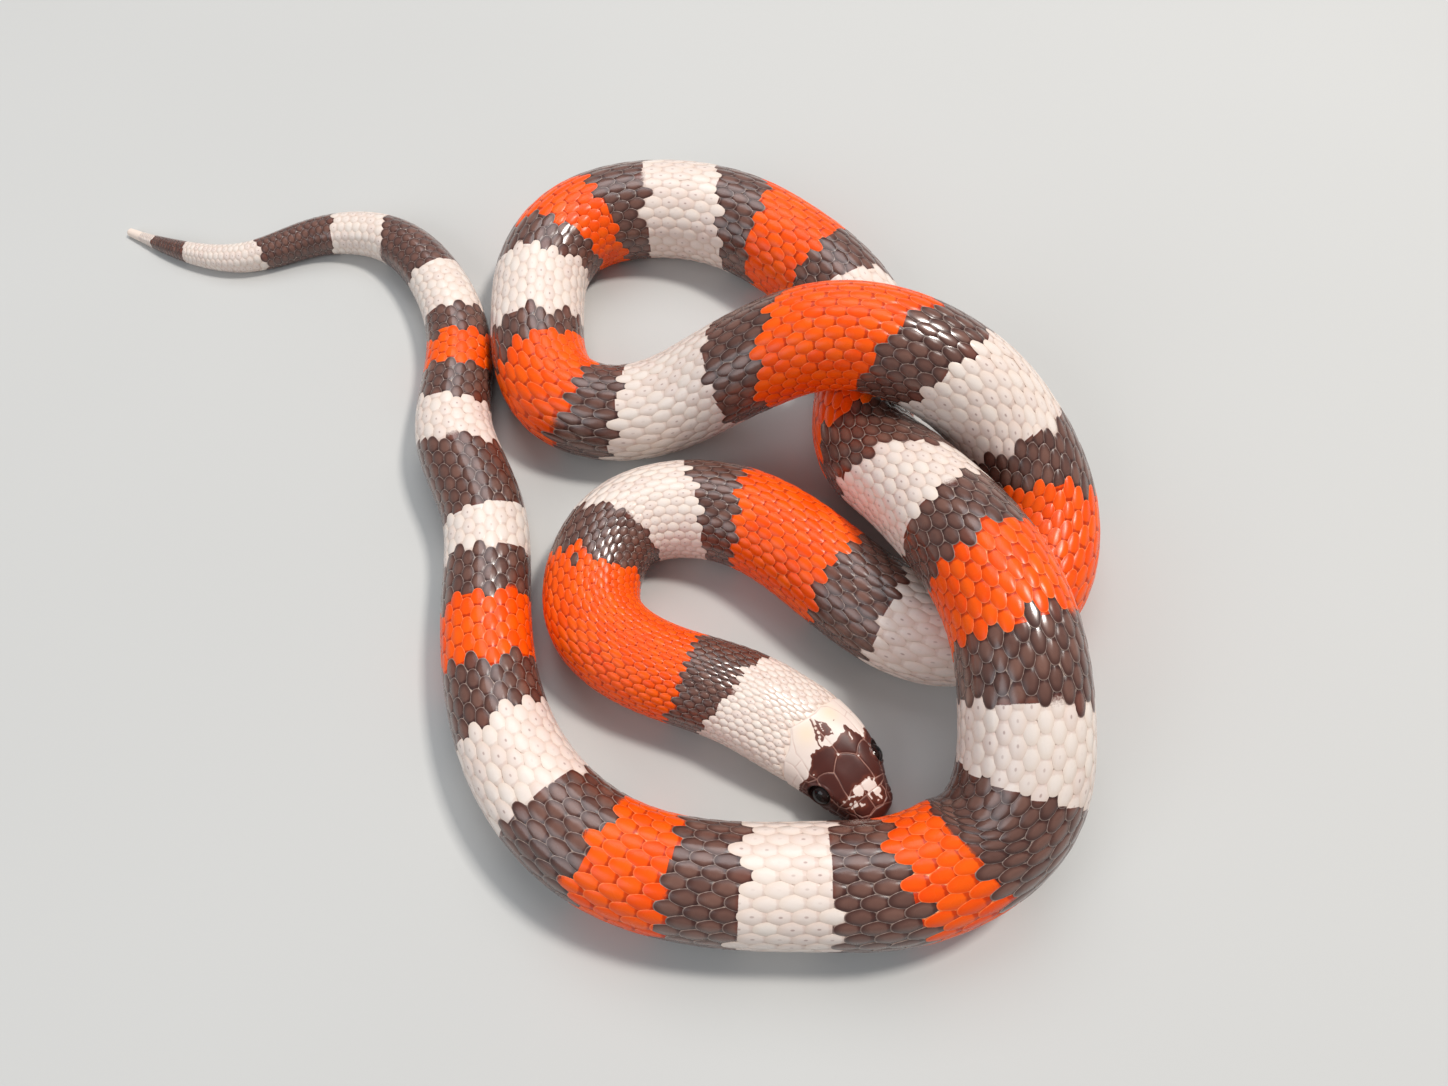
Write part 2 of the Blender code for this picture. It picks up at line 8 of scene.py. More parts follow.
import math

import bpy
import numpy as np
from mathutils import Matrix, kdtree


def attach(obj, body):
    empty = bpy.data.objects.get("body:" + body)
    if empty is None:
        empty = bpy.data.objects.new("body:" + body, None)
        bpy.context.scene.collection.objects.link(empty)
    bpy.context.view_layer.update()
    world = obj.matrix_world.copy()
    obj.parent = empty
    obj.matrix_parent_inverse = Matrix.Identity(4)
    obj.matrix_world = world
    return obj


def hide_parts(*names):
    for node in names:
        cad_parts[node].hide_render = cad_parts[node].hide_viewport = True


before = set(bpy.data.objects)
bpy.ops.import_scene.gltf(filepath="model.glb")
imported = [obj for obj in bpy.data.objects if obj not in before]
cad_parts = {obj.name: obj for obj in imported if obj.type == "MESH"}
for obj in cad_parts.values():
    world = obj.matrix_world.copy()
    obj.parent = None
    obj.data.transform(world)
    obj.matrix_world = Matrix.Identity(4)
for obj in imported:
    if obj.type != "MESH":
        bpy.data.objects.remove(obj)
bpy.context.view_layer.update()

MM = 0.001
SEED = 7
dice = np.random.default_rng(SEED)

BODY_NODES = sorted(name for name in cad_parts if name.startswith(("body", "tail")))

# The form of the body, as its solids have it

BELLY = 0.80
FLANK_DEPTH = 0.90
FLANK_POWER = 2.6
CURVE_STEPS = 6000
HEADING_REACH = 0.5
LIFT_EASE = 8
LIFT_SAMPLES = 17

# The belly's line from the tip of the snout to the tip of the tail: x, y and height over the floor.
ROUTE = (
    (60.2, -61.5, 0), (57, -57.4, 0), (51.3, -50.3, 0), (42.9, -44.4, 0), (35.9, -40.5, 0),
    (20.3, -34.8, 0), (8.9, -25.2, 0), (8, -18, 0), (14.4, -5.2, 0), (21.4, -2.6, 0),
    (37.7, -4.8, 0), (56.9, -19.6, 0), (73.1, -28.2, 0), (87.9, -22.4, 0), (94.2, -7.3, 0.3),
    (93.5, -1.1, 1.8), (84.1, 13.2, 9.6), (74.9, 18.7, 16.4), (63.8, 22.9, 19.8), (52.8, 24.8, 19),
    (41.4, 24.1, 13.2), (29.9, 22.4, 5.4), (8.3, 19.9, 0), (-0.5, 23.8, 0), (-7, 45.2, 0),
    (-6.2, 57.8, 0), (0.1, 68, 0), (10.5, 72.7, 0), (35.1, 70, 0), (47.1, 62, 0),
    (62.1, 41.6, 0), (62.9, 30.8, 0), (61.2, 20.1, 0.5), (61.6, 9.5, 2.7), (66.5, -0.1, 7.2),
    (72.3, -11.4, 13.7), (77.6, -22.8, 18.2), (81.2, -34.8, 18.6), (82.5, -46.3, 14.3), (78.8, -64.1, 3.2),
    (61.5, -73, 0), (50.5, -73.6, 0), (30.9, -73.1, 0), (12.5, -67.9, 0), (-2.9, -53.1, 0),
    (-11.9, -21.7, 0), (-14.4, -2.4, 0), (-21.9, 15.6, 0), (-23.3, 36.2, 0), (-29.9, 55, 0),
    (-43.3, 68.6, 0), (-60.3, 69.6, 0), (-74.3, 64.6, 0), (-89.1, 66.6, 0), (-104.3, 73.4, 0),
)
HALF_WIDTH = (
    (0, 3.6), (1.6, 4.0), (3, 4.6), (4.5, 5.1), (6, 5.8), (7.5, 6.4), (9, 6.8), (11, 7.3), (13, 7.8),
    (16, 8.3), (20, 8.9), (28, 9.2), (40, 8.8), (50, 8.7), (70, 9.3), (85, 9.2), (105, 9.8), (150, 9.9),
    (204, 10.8), (248, 10.3), (297, 9.7), (347, 10.0), (367, 10.6), (397, 10.8), (447, 10.2), (497, 10.5),
    (541, 11.3), (586, 10.5), (626, 10.0), (661, 8.6), (691, 8.15), (712, 8.2), (726, 7.2), (748, 6.5),
    (770, 5.6), (793, 4.2), (813, 3.1), (826, 2.2), (834, 1.4), (838, 0.8),
)
WIDTH_EASE = (0.12, 0.3, 6)
WIDEST_LEVEL = ((0, 3.7), (3, 3.7), (6, 3.9), (10, 4.3), (14, 4.9), (20, 6.4), (28, 7.3), (40, 7.04))
BACK_LEVEL = (
    (0, 5.4), (1.2, 5.7), (2.2, 6.2), (4.3, 7.3), (6.2, 8.1), (8.5, 8.9), (10.6, 9.4), (12.6, 9.9),
    (14.4, 10.3), (17, 11.0), (20, 11.9), (28, 13.6), (40, 14.5), (50, 14.8),
)
BACK = 0.93
WIDEST_TURNOVER = (28, 14)
BACK_TURNOVER = (34, 16)
HEAD_EASE = 1.0
CHIN_LEVEL = ((0, 1.3), (3, 0.9), (6, 0.5), (10, 0.2), (14, 0))
ROOF_POWER = ((0, 2.3), (4, 2.6), (11, 2.7), (16, 2.4), (24, 2.0))
NOSE_LENGTH = 1.7
JAW_LENGTH = 2.9
NOSE_LEVEL = 3.5


def eased(knots, where, reach):
    """Reads a table of (place, value) knots with its corners rounded over the reach to each side."""
    places, values = np.array(knots, float).T
    shares = np.linspace(-1, 1, 9)
    return np.mean([np.interp(where + share * reach, places, values) for share in shares], axis=0)


def natural_spline(points):
    """Gives a function of the distance along a smooth curve through the points, and its length."""
    knots = np.array(points, float)
    chord = np.linalg.norm(np.diff(knots, axis=0), axis=1)
    time = np.concatenate(([0], np.cumsum(chord)))
    count = len(knots)
    system = np.eye(count)
    right = np.zeros_like(knots)
    slope = np.diff(knots, axis=0) / chord[:, None]
    for i in range(1, count - 1):
        system[i, i - 1:i + 2] = (chord[i - 1], 2 * (chord[i - 1] + chord[i]), chord[i])
        right[i] = 6 * (slope[i] - slope[i - 1])
    bend = np.linalg.solve(system, right)

    def at_time(t):
        k = np.clip(np.searchsorted(time, t, side="right") - 1, 0, count - 2)
        step = chord[k][:, None]
        a = (time[k + 1] - t)[:, None] / step
        b = (t - time[k])[:, None] / step
        bow = ((a ** 3 - a) * bend[k] + (b ** 3 - b) * bend[k + 1]) * step ** 2 / 6
        return a * knots[k] + b * knots[k + 1] + bow

    fine = np.linspace(0, time[-1], CURVE_STEPS)
    steps = np.linalg.norm(np.diff(at_time(fine), axis=0), axis=1)
    run = np.concatenate(([0], np.cumsum(steps)))
    return (lambda s: at_time(np.interp(s, run, fine))), run[-1]


route_line, LENGTH = natural_spline(ROUTE)


def eased_line(s):
    """Points of the belly's line, its height kept from dipping under the floor and eased."""
    spread = np.linspace(-LIFT_EASE, LIFT_EASE, LIFT_SAMPLES)
    heights = [np.maximum(route_line(np.clip(s + away, 0, LENGTH))[:, 2], 0) for away in spread]
    return np.column_stack((route_line(s)[:, :2], np.mean(heights, axis=0)))


LINE_STOPS = np.arange(0, LENGTH + 0.05, 0.05)
LINE_POINTS = eased_line(np.minimum(LINE_STOPS, LENGTH)).T


def belly_line(s):
    return np.column_stack([np.interp(s, LINE_STOPS, row) for row in LINE_POINTS])


def rounded(s, length):
    """Rises like a quarter circle from 0 at the tip of the snout to 1 at the given length."""
    left = 1 - np.clip(s / length, 0, 1)
    return np.sqrt(1 - left * left)


def turnover(s, span):
    """Rises from 0 to 1 along a span given as its start and its length."""
    start, length = span
    return np.clip((s - start) / length, 0, 1)


def measure_levels(s):
    """Half width, widest level, back, virtual underside, real underside and the roof's power at s."""
    share, least, most = WIDTH_EASE
    wide = eased(HALF_WIDTH, s, np.clip(s * share, least, most))
    flank = turnover(s, WIDEST_TURNOVER)
    widest = eased(WIDEST_LEVEL, s, HEAD_EASE) * (1 - flank) + BELLY * wide * flank
    spine = turnover(s, BACK_TURNOVER)
    back = eased(BACK_LEVEL, s, HEAD_EASE) * (1 - spine) + (BELLY + BACK) * wide * spine
    chin = eased(CHIN_LEVEL, s, HEAD_EASE)
    nose = rounded(s, NOSE_LENGTH)
    jaw = rounded(s, JAW_LENGTH)
    under = chin - (FLANK_DEPTH - BELLY) * wide
    return np.array((
        wide * nose,
        NOSE_LEVEL + (widest - NOSE_LEVEL) * nose,
        NOSE_LEVEL + (back - NOSE_LEVEL) * nose,
        NOSE_LEVEL + (under - NOSE_LEVEL) * jaw,
        NOSE_LEVEL + (chin - NOSE_LEVEL) * jaw,
        2 / eased(ROOF_POWER, s, HEAD_EASE),
    ))


# The levels are worked out once, closely over the nose, and read from there.
LEVEL_STOPS = np.concatenate((np.linspace(0, 4, 401), np.linspace(4.1, 60, 560), np.linspace(61, LENGTH, 782)))
LEVEL_ROWS = measure_levels(LEVEL_STOPS)


def outline(s, turn):
    """The section at s: across and up for a turn in radians from the top."""
    wide, widest, back, under, floor, roof = (np.interp(s, LEVEL_STOPS, row) for row in LEVEL_ROWS)
    sine = np.sin(turn)
    cosine = np.cos(turn)
    upper = cosine >= 0
    power = np.where(upper, roof, 2 / FLANK_POWER)
    across = wide * np.sign(sine) * np.abs(sine) ** power
    rise = np.abs(cosine) ** power
    up = np.where(upper, widest + (back - widest) * rise, widest - (widest - under) * rise)
    return across, np.maximum(up, floor)


def frame_at(s):
    """Point of the belly's line, direction to the snake's left, and upward direction, at each s."""
    point = belly_line(s)
    after = np.minimum(s + HEADING_REACH, LENGTH)
    before = np.maximum(s - HEADING_REACH, 0)
    ahead = belly_line(after) - belly_line(before)
    ahead /= np.linalg.norm(ahead, axis=1)[:, None]
    side = np.cross(ahead, (0, 0, 1))
    side /= np.linalg.norm(side, axis=1)[:, None]
    return point, side, np.cross(side, ahead)


def place(s, across, up):
    """World points in mm from places along, across and above the belly's line."""
    point, side, upward = frame_at(s)
    return point + side * across[:, None] + upward * up[:, None]


def surface(s, turn):
    """World points of the solids' surface at each pair of s and turn."""
    across, up = outline(s, turn)
    return place(s, across, up)


def raised(s, turn, height):
    """World points at a height over the surface, along its normal."""
    step = 0.04
    along = surface(np.minimum(s + step, LENGTH), turn) - surface(np.maximum(s - step, 0), turn)
    around = surface(s, turn + step) - surface(s, turn - step)
    normal = np.cross(around, along)
    normal /= np.maximum(np.linalg.norm(normal, axis=1), 1e-9)[:, None]
    return surface(s, turn) + normal * height[:, None]


# Ways round the body: even shares of the arc from the back to the belly plates, and under them

BELLY_RISE = 0.16
LANE_REACH = 1.12
ARC_STOPS = np.concatenate((np.linspace(0, 4, 81), np.linspace(5, LENGTH, 838)))
ARC_TURNS = np.linspace(0, math.pi, 361)


def measure_arcs():
    """Tables of turns, a row for each arc stop: along the flank, across the belly, and all the way round."""
    s = np.repeat(ARC_STOPS[:, None], len(ARC_TURNS), axis=1)
    across, up = outline(s, np.repeat(ARC_TURNS[None], len(ARC_STOPS), axis=0))
    steps = np.hypot(np.diff(across, axis=1), np.diff(up, axis=1))
    arcs = np.concatenate((np.zeros((len(ARC_STOPS), 1)), np.cumsum(steps, axis=1)), axis=1)
    wide = np.interp(ARC_STOPS, LEVEL_STOPS, LEVEL_ROWS[0])
    floor = np.interp(ARC_STOPS, LEVEL_STOPS, LEVEL_ROWS[4])
    low = (up < (floor + BELLY_RISE * wide)[:, None]) & (ARC_TURNS > math.pi / 2)
    edges = arcs[np.arange(len(arcs)), np.argmax(low, axis=1)]
    lanes = np.linspace(0, LANE_REACH, 113)
    shares = np.linspace(0, 1, 101)
    flank = np.array([np.interp(lanes * edge, arc, ARC_TURNS) for edge, arc in zip(edges, arcs)])
    under = np.array([np.interp(arc[-1] - shares * (arc[-1] - edge), arc, ARC_TURNS) for edge, arc in zip(edges, arcs)])
    whole = np.array([np.interp(shares * arc[-1], arc, ARC_TURNS) for arc in arcs])
    return flank, under, whole, arcs


FLANK_TURNS, UNDER_TURNS, WHOLE_TURNS, ARCS = measure_arcs()


def read_turns(table, s, share, most=1.0):
    """The value at a signed share of a table's width, read between its rows and columns."""
    row = np.interp(s, ARC_STOPS, np.arange(len(ARC_STOPS)))
    column = np.clip(np.abs(share) / most, 0, 1) * (table.shape[1] - 1)
    r = np.minimum(row.astype(int), table.shape[0] - 2)
    c = np.minimum(column.astype(int), table.shape[1] - 2)
    row -= r
    column -= c
    near = table[r, c] * (1 - column) + table[r, c + 1] * column
    far = table[r + 1, c] * (1 - column) + table[r + 1, c + 1] * column
    return np.where(share < 0, -1, 1) * (near * (1 - row) + far * row)


def arc_at(s, turn):
    """How far round from the top a place lies, measured over the surface."""
    return read_turns(ARCS, s, turn, math.pi)


# Markings

BROWN, WHITE, ORANGE = 0, 1, 2
# Each band's front edge on the back, its colour, and how far the edge has slid back a quarter turn to the left.
BANDS = (
    (0, BROWN, 0), (14.5, WHITE, 0), (33.7, BROWN, -3.5), (43, ORANGE, -1), (73.6, BROWN, -1.4),
    (84.8, WHITE, 4.4), (100, BROWN, 3.5), (109, ORANGE, 2.6), (131.3, BROWN, 1.4), (143.5, WHITE, 1),
    (157, BROWN, 0), (169, ORANGE, 0), (196, BROWN, -5.7), (210.3, WHITE, -3.3), (227.7, BROWN, -3.9),
    (236.6, ORANGE, -4.8), (254.3, BROWN, -5.2), (265.2, WHITE, -2.8), (292.2, BROWN, -3.6),
    (303.2, ORANGE, -1.3), (318.9, BROWN, 2.2), (325, WHITE, 0.5), (341.8, BROWN, 2.8), (349.6, ORANGE, 3.4),
    (361.8, BROWN, 2.4), (372.8, WHITE, 0.2), (389.1, BROWN, 5.7), (399.4, ORANGE, 3.8), (416.4, BROWN, 1.6),
    (426.3, WHITE, -4), (440, BROWN, 0), (450, ORANGE, 0), (466.4, BROWN, 0.8), (484.6, WHITE, -9.2),
    (497.1, BROWN, 1.2), (505.8, ORANGE, 1), (517.4, BROWN, 0.9), (526.2, WHITE, -0.6), (538.3, BROWN, -3),
    (555.7, ORANGE, -0.5), (571.3, BROWN, 2), (583.4, WHITE, 0), (598, BROWN, 0), (609.6, ORANGE, -0.8),
    (622.2, BROWN, -0.3), (634.9, WHITE, -0.5), (651.3, BROWN, 1.5), (662.5, ORANGE, 0.5), (675, BROWN, 1.2),
    (685, WHITE, 0.9), (693.4, BROWN, 0.8), (710.3, WHITE, -4.3), (721.1, BROWN, -0.4), (729.4, ORANGE, 0.5),
    (738.6, BROWN, 0.5), (745.1, WHITE, 0), (758, BROWN, -0.6), (775.3, WHITE, 2.2), (787.8, BROWN, -0.6),
    (805.1, WHITE, 0), (823, BROWN, 0.5), (832, WHITE, 0),
)
HEAD_MARKS_END = 26
# Marks are kept as distances inside each colour, up to this many mm.
MARKS_REACH = 3.0
# Rear border of the brown cap on the roof of the head, as (arc from the top, along), and on the cheeks
# as (degrees from the top, along).
CAP_BORDER = (
    (-9.0, 13.7), (-8.0, 13.45), (-7.0, 13.1), (-6.4, 13.1), (-6.0, 13.8), (-5.3, 14.05), (-4.65, 14.5),
    (-4.1, 15.1), (-3.7, 15.7), (-3.2, 15.75), (-2.9, 15.4), (-2.5, 15.7), (-2.05, 15.25), (-1.5, 15.05),
    (-0.95, 15.0), (-0.7, 14.65), (-0.3, 14.2), (0.25, 14.0), (1.2, 14.05), (2.0, 14.15), (2.7, 14.4),
    (3.3, 14.05), (3.7, 14.15), (3.95, 14.65), (4.4, 15.0), (4.75, 14.65), (4.8, 13.6), (4.9, 13.25),
    (5.45, 12.7), (5.6, 12.05), (5.9, 11.7), (6.6, 12.2), (7.6, 12.9), (9.0, 12.9),
)
CHEEK_BORDER = ((88, 13.3), (110, 13.3), (122, 11.5), (135, 8.0), (150, 4.2), (180, 2.8))
# Patches on the head, as corners (along, arc): pale ones on the brown cap and brown ones on the nape.
PALE_PATCHES = (
    (
        (5.1, -1.75), (4.75, -1.35), (4.4, -0.7), (4.65, -0.5), (4.95, -0.1), (4.8, 0.3), (4.5, 0.42),
        (4.0, 0.12), (3.1, 0.2), (3.1, 0.36), (4.1, 0.6), (4.1, 1.15), (3.4, 1.27), (2.8, 1.5), (2.2, 1.8),
        (2.4, 2.05), (3.0, 2.0), (3.3, 2.5), (3.75, 2.73), (4.15, 2.5), (4.65, 2.4), (5.2, 2.5), (5.65, 3.0),
        (5.75, 2.7), (5.3, 2.15), (5.7, 2.05), (6.3, 2.15), (6.4, 1.8), (6.0, 1.6), (6.5, 1.27), (6.3, 0.85),
        (6.1, 0.2), (6.1, -0.3), (6.4, -0.7), (6.4, -1.2), (6.0, -1.65), (5.6, -1.85),
    ),
    ((3.2, -2.0), (3.1, -1.6), (3.1, -1.1), (3.35, -1.1), (3.45, -1.5), (3.9, -1.7), (3.85, -1.95)),
    (
        (3.85, -3.6), (3.8, -3.1), (3.7, -2.6), (3.7, -2.2), (4.05, -2.15), (4.55, -2.3), (4.55, -2.6),
        (4.15, -2.8), (4.0, -3.2), (4.05, -3.6),
    ),
    ((5.4, -3.0), (5.6, -2.8), (5.45, -2.2), (5.2, -1.8), (5.1, -2.1), (5.35, -2.5)),
    ((12.5, 3.55), (12.5, 3.8), (13.2, 4.0), (13.6, 4.2), (13.75, 4.05), (13.2, 3.8)),
)
BROWN_PATCHES = (
    ((14.8, -1.8), (15.3, -1.65), (16.1, -1.4), (16.7, -1.15), (17.0, -0.9), (16.7, -0.8), (16.1, -1.15), (14.8, -1.4)),
    (
        (16.8, -1.1), (17.05, -1.0), (17.4, -0.4), (17.8, -0.15), (18.25, 0.2), (18.9, 0.57), (19.6, 1.1),
        (19.5, 1.3), (19.0, 1.08), (18.35, 0.72), (18.1, 1.15), (18.9, 1.43), (19.1, 1.62), (18.5, 1.55),
        (18.1, 1.87), (17.6, 2.2), (16.9, 2.36), (16.2, 2.25), (15.4, 2.03), (15.0, 1.76), (15.25, 1.5),
        (15.5, 0.9), (15.95, 0.67), (15.9, 0.35), (15.7, 0.0), (15.6, -0.4), (15.7, -0.75), (16.3, -0.6),
    ),
    ((16.4, 3.55), (16.4, 3.85), (16.55, 3.85), (16.55, 3.55)),
)
# Small gaps inside the brown patch of the nape, and little pale beads where plates meet, partly pale spots of their own
# and partly painted highlights (glints) on those junctions: along, arc, radius.
NAPE_GAPS = (
    (16.1, -0.9, 0.2), (16.45, -0.3, 0.26), (17.15, 0.18, 0.28), (17.9, 0.4, 0.24), (16.7, 0.95, 0.12),
    (17.1, 1.1, 0.12), (17.45, 1.25, 0.14), (17.7, 1.5, 0.17), (17.65, 1.8, 0.13), (15.6, 1.85, 0.2),
)
PALE_BEADS_AND_GLINTS = (
    (12.27, -0.05, 0.24), (9.95, 2.73, 0.18), (4.6, -3.26, 0.24), (5.5, -3.95, 0.2), (5.5, -2.9, 0.22),
    (8.9, 5.35, 0.2), (2.35, 1.2, 0.16), (12.6, -5.5, 0.14),
)


def inside(polygon, x, y):
    """Tells which points lie in a polygon."""
    result = np.zeros(len(x), bool)
    for (ax, ay), (bx, by) in zip(polygon, polygon[1:] + polygon[:1]):
        crosses = (ay > y) != (by > y)
        rise = by - ay if by != ay else 1e-9
        result ^= crosses & (x < (bx - ax) * (y - ay) / rise + ax)
    return result


def depth_inside(polygon, x, y):
    """Distance from each point to the polygon's edge, below 0 outside it."""
    away = np.full(len(x), 99.0)
    for (ax, ay), (bx, by) in zip(polygon, polygon[1:] + polygon[:1]):
        run, rise = bx - ax, by - ay
        share = np.clip(((x - ax) * run + (y - ay) * rise) / (run * run + rise * rise), 0, 1)
        away = np.minimum(away, np.hypot(x - ax - share * run, y - ay - share * rise))
    return np.where(inside(polygon, x, y), away, -away)


def waver(x, y):
    """A fine irregular ripple, for edges that shouldn't look drawn with a ruler."""
    return np.sin(5.1 * x + 2.3 * y) + 0.6 * np.sin(9.7 * y - 4.1 * x + 1.3) + 0.4 * np.sin(17.3 * x + 11.9 * y)


def band_marks(s, turn):
    """Distances inside the brown and the orange bands at each place of the body, below 0 outside them."""
    quarter = np.clip(turn / (math.pi / 2), -1.1, 1.1)
    marks = np.full((2, len(s)), -MARKS_REACH)
    for (start, colour, slide), (end, _, next_slide) in zip(BANDS, BANDS[1:] + ((LENGTH + 9, WHITE, 0),)):
        if colour != WHITE:
            within = np.minimum(s - start - slide * quarter, end + next_slide * quarter - s)
            marks[colour // 2] = np.maximum(marks[colour // 2], within)
    return marks


def head_marks(s, turn):
    """Distance inside the brown cap and the brown flecks of the head and nape."""
    arc = arc_at(s, turn)
    along = s + 0.05 * waver(arc, s)
    arc = arc + 0.05 * waver(s, arc)
    degrees = np.degrees(np.abs(turn))
    roof = np.interp(arc, *np.array(CAP_BORDER).T)
    cheek = np.interp(degrees, *np.array(CHEEK_BORDER).T)
    share = np.clip((degrees - 76) / 12, 0, 1)
    brown = roof * (1 - share) + cheek * share - along
    for patch in PALE_PATCHES:
        brown = np.minimum(brown, -depth_inside(patch, along, arc))
    for patch in BROWN_PATCHES:
        brown = np.maximum(brown, depth_inside(patch, along, arc))
    # The beads are pale spots that also serve as painted glints where the plates meet.
    for gap_s, gap_arc, radius in NAPE_GAPS + PALE_BEADS_AND_GLINTS:
        brown = np.minimum(brown, np.hypot(along - gap_s, arc - gap_arc) - radius)
    return brown


def colour_marks(s, turn):
    """Distances inside brown and orange at each place, clipped; what is outside both is white."""
    brown, orange = band_marks(s, turn)
    head = s < HEAD_MARKS_END
    if head.any():
        brown[head] = head_marks(s[head], turn[head])
        orange[head] = -MARKS_REACH
    return np.clip(np.column_stack((brown, orange)), -MARKS_REACH, MARKS_REACH)


# Meshes

def deselect_all():
    if bpy.context.object and bpy.context.object.mode == "EDIT":
        bpy.ops.object.mode_set(mode="OBJECT")
    bpy.ops.object.select_all(action="DESELECT")


def add_piece(name, points, faces, finish):
    """A smooth mesh object from points in mm, with its place in its mesh."""
    mesh = bpy.data.meshes.new(name)
    mesh.from_pydata(np.asarray(points) * MM, [], faces)
    mesh.shade_smooth()
    mesh.materials.append(finish)
    piece = bpy.data.objects.new(name, mesh)
    bpy.context.scene.collection.objects.link(piece)
    return piece


def set_points(piece, name, kind, values):
    """Stores one value for each point of a mesh: a number, a vector or a colour."""
    layer = piece.data.attributes.new(name, kind, "POINT")
    values = np.asarray(values, np.float32)
    if kind == "FLOAT_COLOR":
        missing = 4 - values.shape[1]
        values = np.column_stack([values] + [np.ones(len(values), np.float32)] * missing)
    field = {"FLOAT": "value", "FLOAT_VECTOR": "vector", "FLOAT_COLOR": "color"}[kind]
    layer.data.foreach_set(field, np.ascontiguousarray(values).ravel())


def set_bake_map(piece, places):
    """The map for painting the finished piece, from one place for each point."""
    layer = piece.data.uv_layers.new(name="OFBake")
    corners = np.zeros(len(piece.data.loops), np.int32)
    piece.data.loops.foreach_get("vertex_index", corners)
    layer.data.foreach_set("uv", np.asarray(places, np.float32)[corners].ravel())


def dress(piece, slot, *nodes):
    """Sets a finished piece on the model in place of its solids."""
    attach(piece, "root")
    if nodes:
        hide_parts(*nodes)


def pattern_of(item):
    """Takes a modelled pattern off the scene: its points, and its faces as tuples."""
    bpy.ops.object.mode_set(mode="OBJECT")
    points = np.array([v.co for v in item.data.vertices], float)
    faces = [tuple(face.vertices) for face in item.data.polygons]
    bpy.data.objects.remove(item)
    return points, faces


# Scales

# Length of one scale over the body's width, and how much wider the rows grow from the back to the belly,
# both by the distance from the snout.
PERIOD = (
    (15, 0.098), (36, 0.118), (45, 0.125), (75, 0.138), (110, 0.165), (150, 0.188), (380, 0.195), (490, 0.183),
    (545, 0.177), (585, 0.200),
)
ROW_GROWTH = ((15, 0.9), (60, 0.6), (120, 0.3), (300, 0.15), (716, 0.15), (840, 0.1))
# Rows of scales over the back, running out one by one towards the belly as their count falls.
ROW_COUNTS = (
    (15, 32), (36, 28.5), (60, 26.5), (110, 22.5), (150, 21), (530, 21), (590, 20), (640, 17.5), (700, 15.5),
    (745, 13), (790, 9.5), (836, 5.5),
)
LAST_LANE = 1.02
SCALE_SIDES = 16
# The spine's height over the height of the back.
SPINE_SHARE = 0.8
# A scale's half length over the period, and its half width over the distance of two rows.
SCALE_HALF_LENGTH = 0.63
SCALE_HALF_WIDTH = 0.67
# Middle of the part that shows, behind the tip of the scale before it, over the period.
SHOWING_MIDDLE = 0.12
# Its outline is a long hexagon: the width of its broad rear and narrow front end over the whole, how round
# its corners are, and where its points lie, in degrees from the rear end.
REAR_END = 0.64
FRONT_END = 0.30
SIDE_ROUNDING = 0.25
CORNER_POWER = 5.0
CORNER_ANGLES = (0, 16, 33, 60, 90, 124, 152, 171, 180)
# Thickness over the body's half width; then, over that, the front and rear edges, the dome and the bed.
SCALE_DEPTH = 0.030
FRONT_EDGE = -0.86
REAR_EDGE = -0.40
DOME = 0.32
DOME_POWER = 3.0
# Relief of the white and the orange scales over that of the brown ones.
WHITE_RELIEF = 0.45
ORANGE_RELIEF = 0.75
# Share of the scales near orange that take the colour of a place well before or behind them.
STRAY_SHARE = 0.07
# How far a scale keeps its own length where the skin is stretched or pressed together.
STIFFNESS = 0.12
BED = 0.86
SUNK = 1.6
SCALES_START = 15.0
SCALES_END = 836
# Where the scales begin behind the plates of the head, by the arc from the top.
SCALE_BORDER = (
    (-22, 15.5), (-17, 15.0), (-13, 16.5), (-10, 18.0), (-7.4, 19.3), (-5.6, 19.5), (-4.6, 19.8), (-3.7, 20.3),
    (-2.2, 21.3), (-1.2, 20.9), (0.2, 20.2), (1.2, 19.8), (2.3, 19.4), (4.4, 19.2), (5.6, 18.6), (7.5, 18.3),
    (10, 17.8), (13, 16.3), (17, 15.0), (22, 15.5),
)
# The head's plates stand over the solids' surface by this much, which runs out along the nape.
HEAD_RISE = 0.26
RISE_SPAN = (14, 16)
RISE_TURNS = (1.9, 2.5)
SCALE_PIECES = (
    ("scales_nape", 0), ("scales_neck", 73.6), ("scales_fore", 131.3), ("scales_over", 265.2),
    ("scales_coil", 389.1), ("scales_near", 505.8), ("scales_rear", 622.2), ("scales_tail", 721.1),
)
PATCH = 0.0034


def rise_at(s, turn):
    """How far the head's plates and the nape stand over the solids, running out backwards and below."""
    back = turnover(s, RISE_SPAN)
    under = np.clip((np.abs(turn) - RISE_TURNS[0]) / (RISE_TURNS[1] - RISE_TURNS[0]), 0, 1)
    return HEAD_RISE * (1 - back * back * (3 - 2 * back)) * (1 - under * under * (3 - 2 * under))


def depth_at(s):
    return SCALE_DEPTH * np.interp(s, LEVEL_STOPS, LEVEL_ROWS[0])


def length_ratio(s, across, up):
    """How far a line at a place in the section runs for each mm of the belly's line."""
    reach = 0.4
    start = place(np.maximum(s - reach, 0), across, up)
    end = place(np.minimum(s + reach, LENGTH), across, up)
    return np.linalg.norm(end - start, axis=1) / (2 * reach)


def spine_ratio(s):
    _, up = outline(s, np.zeros(len(s)))
    return length_ratio(s, np.zeros(len(s)), up * SPINE_SHARE)


def period_at(s):
    """Distance between two scales of a row, along s: their natural length holds along the spine."""
    natural = 2 * np.interp(s, LEVEL_STOPS, LEVEL_ROWS[0]) * np.interp(s, *np.array(PERIOD).T)
    return natural / spine_ratio(s)


